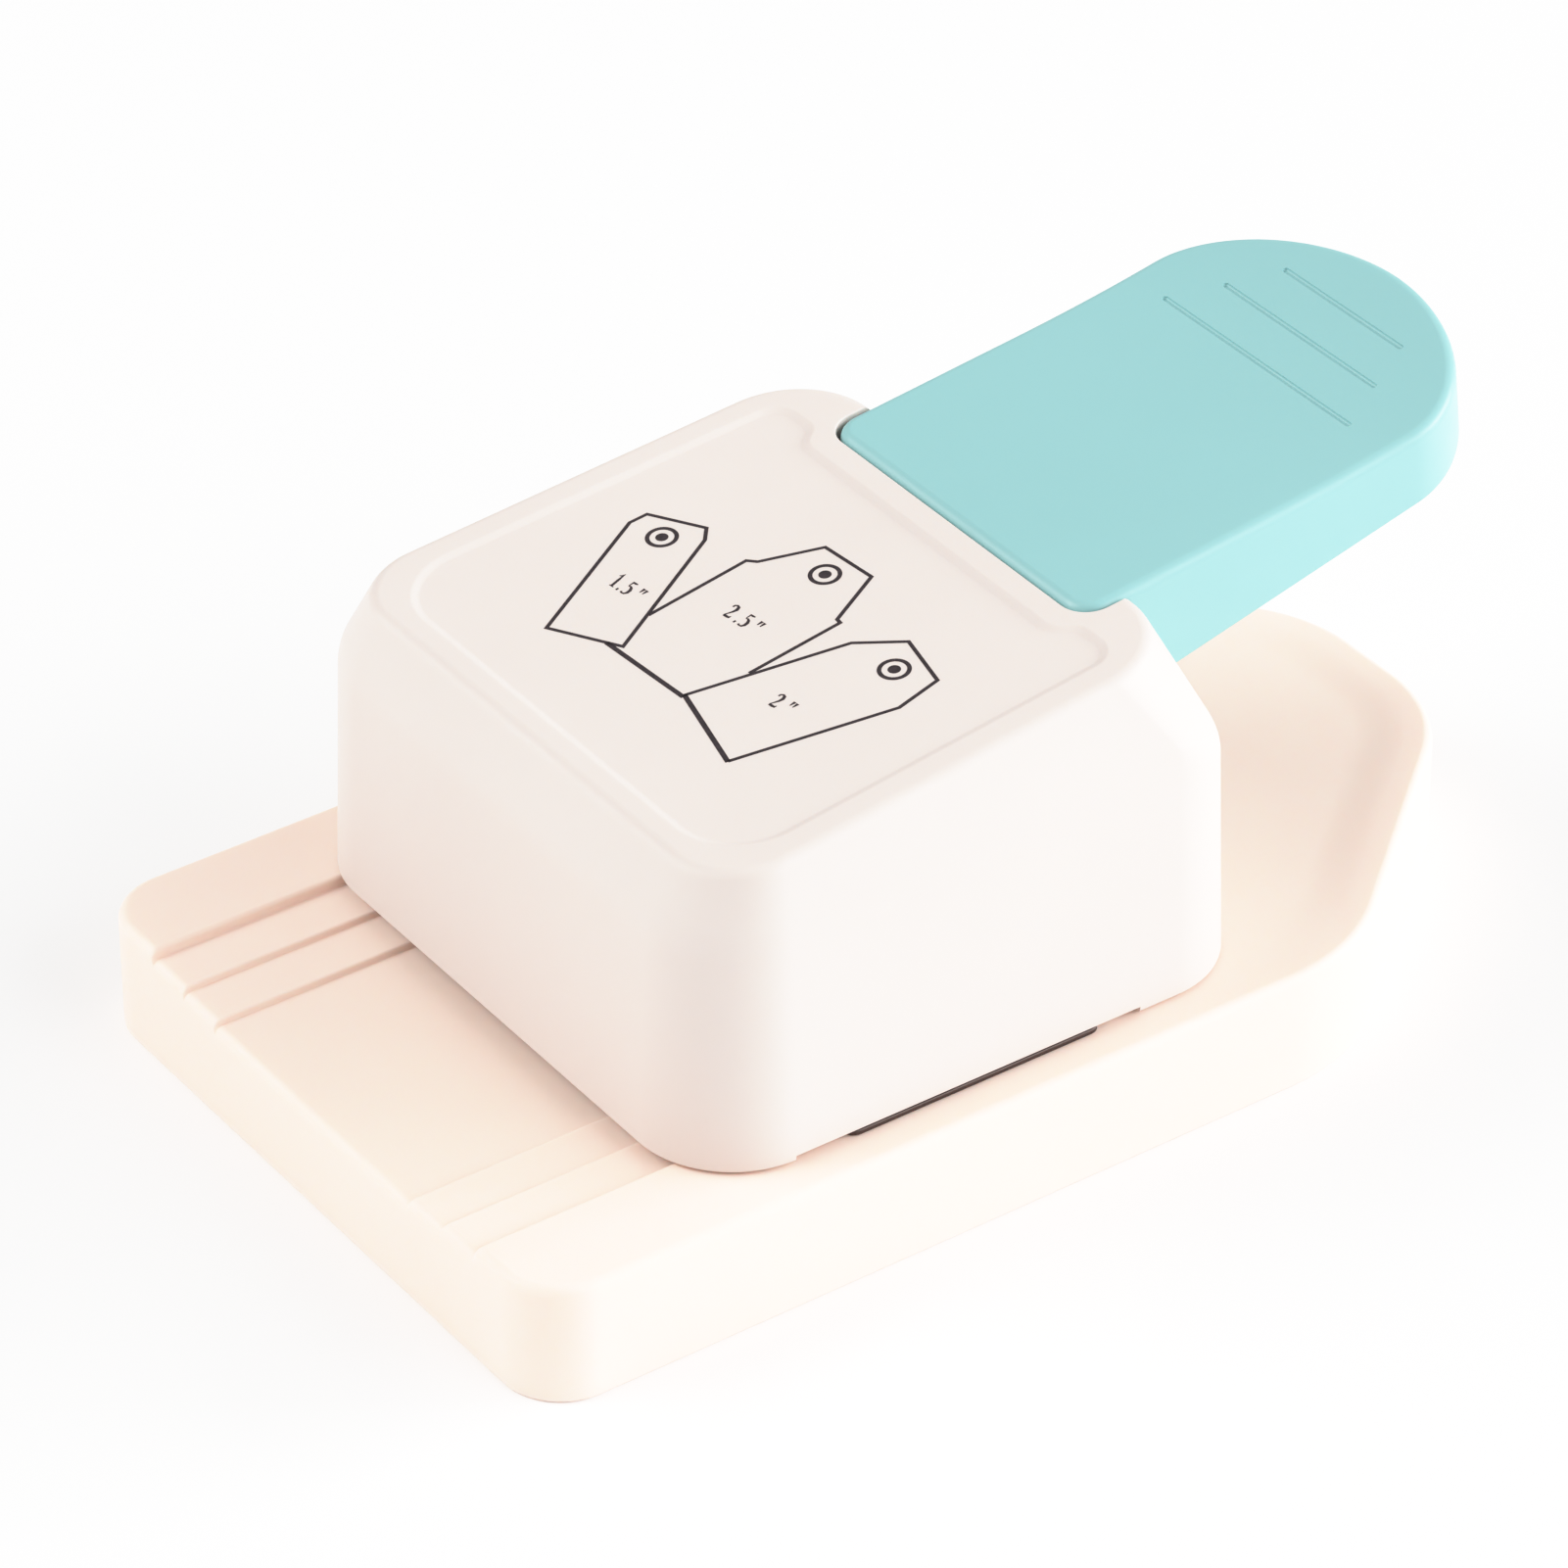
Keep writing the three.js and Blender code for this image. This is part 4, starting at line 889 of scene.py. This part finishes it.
CLOUD = dict(scale=28.0, detail=3.0, span=(0.3, 0.7), dark=0.985, pale=1.012)
SPECK = dict(scale=90.0, outside=0.010, inside=0.016, rare=(0.86, 0.9), cover=0.45, dark=0.45)
GLOSS = dict(scale=160.0, detail=4.0, span=(0.3, 0.7), below=0.04, above=0.05)
GRAIN = dict(scale=5200.0, detail=2.0, depth=0.00004)
POLYMER = dict(reach=0.003, index=1.46)
GRINDING = dict(scale=900.0, detail=4.0, span=(0.25, 0.75), below=0.08, above=0.14, depth=0.00003)
STAIN = dict(scale=60.0, detail=3.0, span=(0.35, 0.7), dark=0.9, pale=1.08)
COVER = dict(scale=2200.0, detail=3.0, span=(0.4, 0.65), dark=0.8, pale=1.5)
INK_GLOSS = dict(scale=700.0, low=0.42, high=0.6)

# Sockets of the colour mix, which Blender knows by number only

MIX_INPUTS = (6, 7)
MIX_OUTPUT = 2


class Shader:
    """A small helper for building a node tree."""

    def __init__(self, name):
        self.material = bpy.data.materials.new(name)
        self.material.use_nodes = True
        self.tree = self.material.node_tree
        self.surface = self.tree.nodes["Principled BSDF"]
        self.place = self.tree.nodes.new("ShaderNodeTexCoord").outputs["Object"]

    def node(self, kind, inputs, **settings):
        made = self.tree.nodes.new(kind)
        for key, value in settings.items():
            setattr(made, key, value)
        for key, value in inputs.items():
            if isinstance(value, bpy.types.NodeSocket):
                self.tree.links.new(value, made.inputs[key])
            else:
                made.inputs[key].default_value = value
        return made

    def link(self, output, name):
        self.tree.links.new(output, self.surface.inputs[name])

    def noise(self, scale, detail=2.0, stretch=None):
        place = self.place
        if stretch is not None:
            place = self.node("ShaderNodeMapping", {"Vector": place, "Scale": stretch}).outputs["Vector"]
        inputs = {"Vector": place, "Scale": scale, "Detail": detail}
        return self.node("ShaderNodeTexNoise", inputs).outputs["Fac"]

    def span(self, value, low, high, start=0.0, end=1.0):
        """Turns values from start to end into values from low to high."""
        inputs = {"Value": value, "From Min": start, "From Max": end, "To Min": low, "To Max": high}
        return self.node("ShaderNodeMapRange", inputs).outputs["Result"]

    def times(self, a, b):
        return self.node("ShaderNodeMath", {0: a, 1: b}, operation="MULTIPLY").outputs[0]

    def mix(self, factor, a, b):
        made = self.node("ShaderNodeMix", {"Factor": factor}, data_type="RGBA")
        for number, value in zip(MIX_INPUTS, (a, b)):
            socket = made.inputs[number]
            if isinstance(value, bpy.types.NodeSocket):
                self.tree.links.new(value, socket)
            else:
                socket.default_value = value
        return made.outputs[MIX_OUTPUT]

    def clouds(self, look, colour):
        """The colour, unevenly paler and darker."""
        share = self.span(self.noise(look["scale"], look["detail"]), 0.0, 1.0, *look["span"])
        return self.mix(share, shade(colour, look["dark"]), shade(colour, look["pale"]))

    def specks(self, tone, colour):
        """The tone with a few small dark dots, each at the middle of a rare cell."""
        cells = self.node("ShaderNodeTexVoronoi", {"Vector": self.place, "Scale": SPECK["scale"]})
        dot = self.span(cells.outputs["Distance"], 1.0, 0.0, SPECK["outside"], SPECK["inside"])
        chance = self.node("ShaderNodeSeparateColor", {"Color": cells.outputs["Color"]}).outputs["Red"]
        rare = self.span(chance, 0.0, 1.0, *SPECK["rare"])
        return self.mix(self.times(self.times(dot, rare), SPECK["cover"]), tone, shade(colour, SPECK["dark"]))

    def gloss(self, noise, look, rough):
        """A roughness that the noise makes uneven."""
        uneven = self.span(noise, rough - look["below"], rough + look["above"], *look["span"])
        self.link(uneven, "Roughness")

    def bump(self, height, strength, distance):
        made = self.node("ShaderNodeBump", {"Height": height, "Strength": strength, "Distance": distance})
        self.link(made.outputs["Normal"], "Normal")


def shade(colour, factor):
    """A linear colour made darker or paler, with full cover."""
    return tuple(c * factor for c in colour) + (1.0,)


def plastic(name, colour, rough, grain=0.10, glow=0.0, warmth=(1.0, 0.6, 0.4), specks=True):
    """Moulded plastic: cloudy colour, a fine spark-eroded grain, a few specks and faintly uneven gloss."""
    s = Shader(name)
    tone = s.clouds(CLOUD, colour)
    s.link(s.specks(tone, colour) if specks else tone, "Base Color")
    s.gloss(s.noise(GLOSS["scale"], GLOSS["detail"]), GLOSS, rough)
    s.bump(s.noise(GRAIN["scale"], GRAIN["detail"]), grain, GRAIN["depth"])
    s.surface.inputs["Subsurface Weight"].default_value = glow
    s.surface.inputs["Subsurface Radius"].default_value = warmth
    s.surface.inputs["Subsurface Scale"].default_value = POLYMER["reach"]
    s.surface.inputs["IOR"].default_value = POLYMER["index"]
    return s.material


def metal(name, colour, rough, stretch=(1.0, 14.0, 1.0), depth=0.25):
    """Steel with fine grinding lines, slight stains and uneven gloss."""
    s = Shader(name)
    lines = s.noise(GRINDING["scale"], GRINDING["detail"], stretch)
    s.link(s.clouds(STAIN, colour), "Base Color")
    s.gloss(lines, GRINDING, rough)
    s.bump(lines, depth, GRINDING["depth"])
    s.surface.inputs["Metallic"].default_value = 1.0
    return s.material


def ink(name, colour):
    """Pad-printed ink with slightly uneven cover."""
    s = Shader(name)
    s.link(s.clouds(COVER, colour), "Base Color")
    s.link(s.span(s.noise(INK_GLOSS["scale"]), INK_GLOSS["low"], INK_GLOSS["high"]), "Roughness")
    return s.material


CREAM = plastic("cream_plastic", (0.99, 0.75, 0.655), 0.50, glow=0.4, warmth=(1.0, 0.6, 0.45))
WHITE = plastic("white_plastic", (0.72, 0.64, 0.60), 0.52, glow=0.10)
AQUA = plastic("aqua_plastic", (0.278, 0.525, 0.533), 0.40, glow=0.06)
CHARCOAL = plastic("charcoal_plastic", (0.035, 0.036, 0.04), 0.55, specks=False)
NYLON = plastic("nylon", (0.80, 0.77, 0.69), 0.45, glow=0.1, specks=False)
HARD_STEEL = metal("hard_steel", (0.56, 0.57, 0.58), 0.28)
DARK_STEEL = metal("dark_steel", (0.085, 0.064, 0.06), 0.42, depth=0.6)
FRAME_STEEL = metal("frame_steel", (0.50, 0.51, 0.52), 0.36)
SPRING_STEEL = metal("spring_steel", (0.42, 0.43, 0.44), 0.3, (1.0, 1.0, 6.0))
ZINC = metal("screw_zinc", (0.62, 0.63, 0.65), 0.3, (1.0, 1.0, 3.0))
INK = ink("print_ink", (0.022, 0.014, 0.017))

SLOT_MATERIALS = dict(
    cream_plastic=CREAM, white_plastic=WHITE, aqua_plastic=AQUA, charcoal_plastic=CHARCOAL, nylon=NYLON,
    hard_steel=HARD_STEEL, dark_steel=DARK_STEEL, frame_steel=FRAME_STEEL, spring_steel=SPRING_STEEL,
    screw_zinc=ZINC,
)

for row in frame["record"]["subparts"]:
    node = frame["nodes"][row["node"]]
    node.data.materials.clear()
    node.data.materials.append(SLOT_MATERIALS[row["material_slot"]])


# Pieces


def spring_coil(side, word):
    """A return spring in place of the CAD one, with a mesh of its own."""
    coil = finish_piece(
        spring(side), f"spring_coil_{word}", "base", SPRING_STEEL,
        replaced=[f"return_spring_{word}"], sharp=SHARP["coil"],
    )
    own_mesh(coil)


def soften(node):
    """Softly broken edges on a CAD piece, which keeps its own shape."""
    bevel = node.modifiers.new("soften", "BEVEL")
    bevel.width = BROKEN_EDGE * MM
    bevel.segments = STEPS["bevel"]
    bevel.limit_method = "ANGLE"
    bevel.angle_limit = math.radians(SHARP["inner"])
    bevel.use_clamp_overlap = True
    node.data.shade_smooth()
    node.data.set_sharp_from_angle(angle=math.radians(SHARP["inner"]))


finish_piece(base_tray(), "base_shell", "base", CREAM, replaced=["base_tray"])
finish_piece(housing(), "housing_shell", "base", WHITE, replaced=["housing"])
finish_piece(lever(), "lever_shell", "handle", AQUA, place=LEVER_PLACE, replaced=["lever"])
finish_piece(stripper_plate(), "stripper", "base", DARK_STEEL, replaced=["stripper_plate"])
spring_coil(-1, "left")
spring_coil(1, "right")
print_pieces()
for row in frame["record"]["subparts"]:
    soften(frame["nodes"][row["node"]])


# Floor, light and camera

CAMERA = dict(
    place=(549.8, -328.3, 498.6), target=(-6.34, 66.56, 25.0), lens=172.85, sensor=36.0, roll=0.02, near=0.01,
)
LIGHTS = dict(
    key=dict(place=(1.33, 0.68, 0.85), size=(1.5, 1.1), power=20.5),
    fill=dict(place=(-0.8, -1.15, 1.15), size=(1.2, 1.0), power=25.0, colour=(1.0, 1.0, 0.985)),
    back=dict(place=(0.6, 1.5, 0.6), size=(1.0, 0.6), power=24.0),
)
LIGHT_TARGET = (0, 0, 0.03)
WHITE_LIGHT = (1.0, 1.0, 1.0)
FLOOR = dict(reach=4, dark=0.93, pale=0.95, scale=3.0, rough=0.9, glow=0.02)
WORLD_STRENGTH = 0.43

# The curve from light to shown tone, as pairs, and the light that shows as plain white

TONE = [(0.35, 0.35), (0.75, 0.75), (0.9, 0.868), (1.0, 0.915), (1.2, 0.97)]
TONE_WHITE = 1.4
COMBINED_CURVE = 3


def aim(thing, target, roll=0.0):
    way = Vector(target) - thing.location
    turn = way.to_track_quat("-Z", "Y").to_matrix().to_4x4()
    spin = Matrix.Rotation(math.radians(roll), 4, "Z")
    thing.rotation_euler = (turn @ spin).to_euler()


def add_camera():
    data = bpy.data.cameras.new("camera")
    data.lens = CAMERA["lens"]
    data.sensor_width = CAMERA["sensor"]
    data.clip_start = CAMERA["near"]
    camera = bpy.data.objects.new("camera", data)
    camera.location = TO_SHARED @ Vector(CAMERA["place"])
    aim(camera, TO_SHARED @ Vector(CAMERA["target"]), CAMERA["roll"])
    bpy.context.scene.collection.objects.link(camera)
    bpy.context.scene.camera = camera


def add_light(name, place, size, power, colour=WHITE_LIGHT):
    data = bpy.data.lights.new(name, "AREA")
    data.shape = "RECTANGLE"
    data.size, data.size_y = size
    data.energy = power
    data.color = colour
    light = bpy.data.objects.new(name, data)
    light.location = place
    aim(light, LIGHT_TARGET)
    bpy.context.scene.collection.objects.link(light)


def add_floor():
    reach = FLOOR["reach"]
    corners = [(-reach, -reach, 0), (reach, -reach, 0), (reach, reach, 0), (-reach, reach, 0)]
    floor = new_object("floor", corners, [(0, 1, 2, 3)])
    s = Shader("floor")
    tones = (shade(WHITE_LIGHT, FLOOR["dark"]), shade(WHITE_LIGHT, FLOOR["pale"]))
    s.link(s.mix(s.noise(FLOOR["scale"]), *tones), "Base Color")
    s.surface.inputs["Roughness"].default_value = FLOOR["rough"]
    s.surface.inputs["Emission Color"].default_value = shade(WHITE_LIGHT, 1)
    s.surface.inputs["Emission Strength"].default_value = FLOOR["glow"]
    floor.data.materials.append(s.material)


def add_world():
    world = bpy.data.worlds.new("studio")
    world.use_nodes = True
    background = world.node_tree.nodes["Background"]
    background.inputs["Color"].default_value = shade(WHITE_LIGHT, 1)
    background.inputs["Strength"].default_value = WORLD_STRENGTH
    bpy.context.scene.world = world


def set_tone():
    """A film-like shoulder, so that the brightest faces keep their shading."""
    view = bpy.context.scene.view_settings
    view.view_transform = "Standard"
    view.use_curve_mapping = True
    mapping = view.curve_mapping
    mapping.white_level = (TONE_WHITE,) * 3
    curve = mapping.curves[COMBINED_CURVE]
    for light, shown in TONE:
        curve.points.new(light / TONE_WHITE, shown)
    mapping.update()


add_camera()
set_tone()
add_floor()
add_world()
for name, light in LIGHTS.items():
    add_light(name, **light)
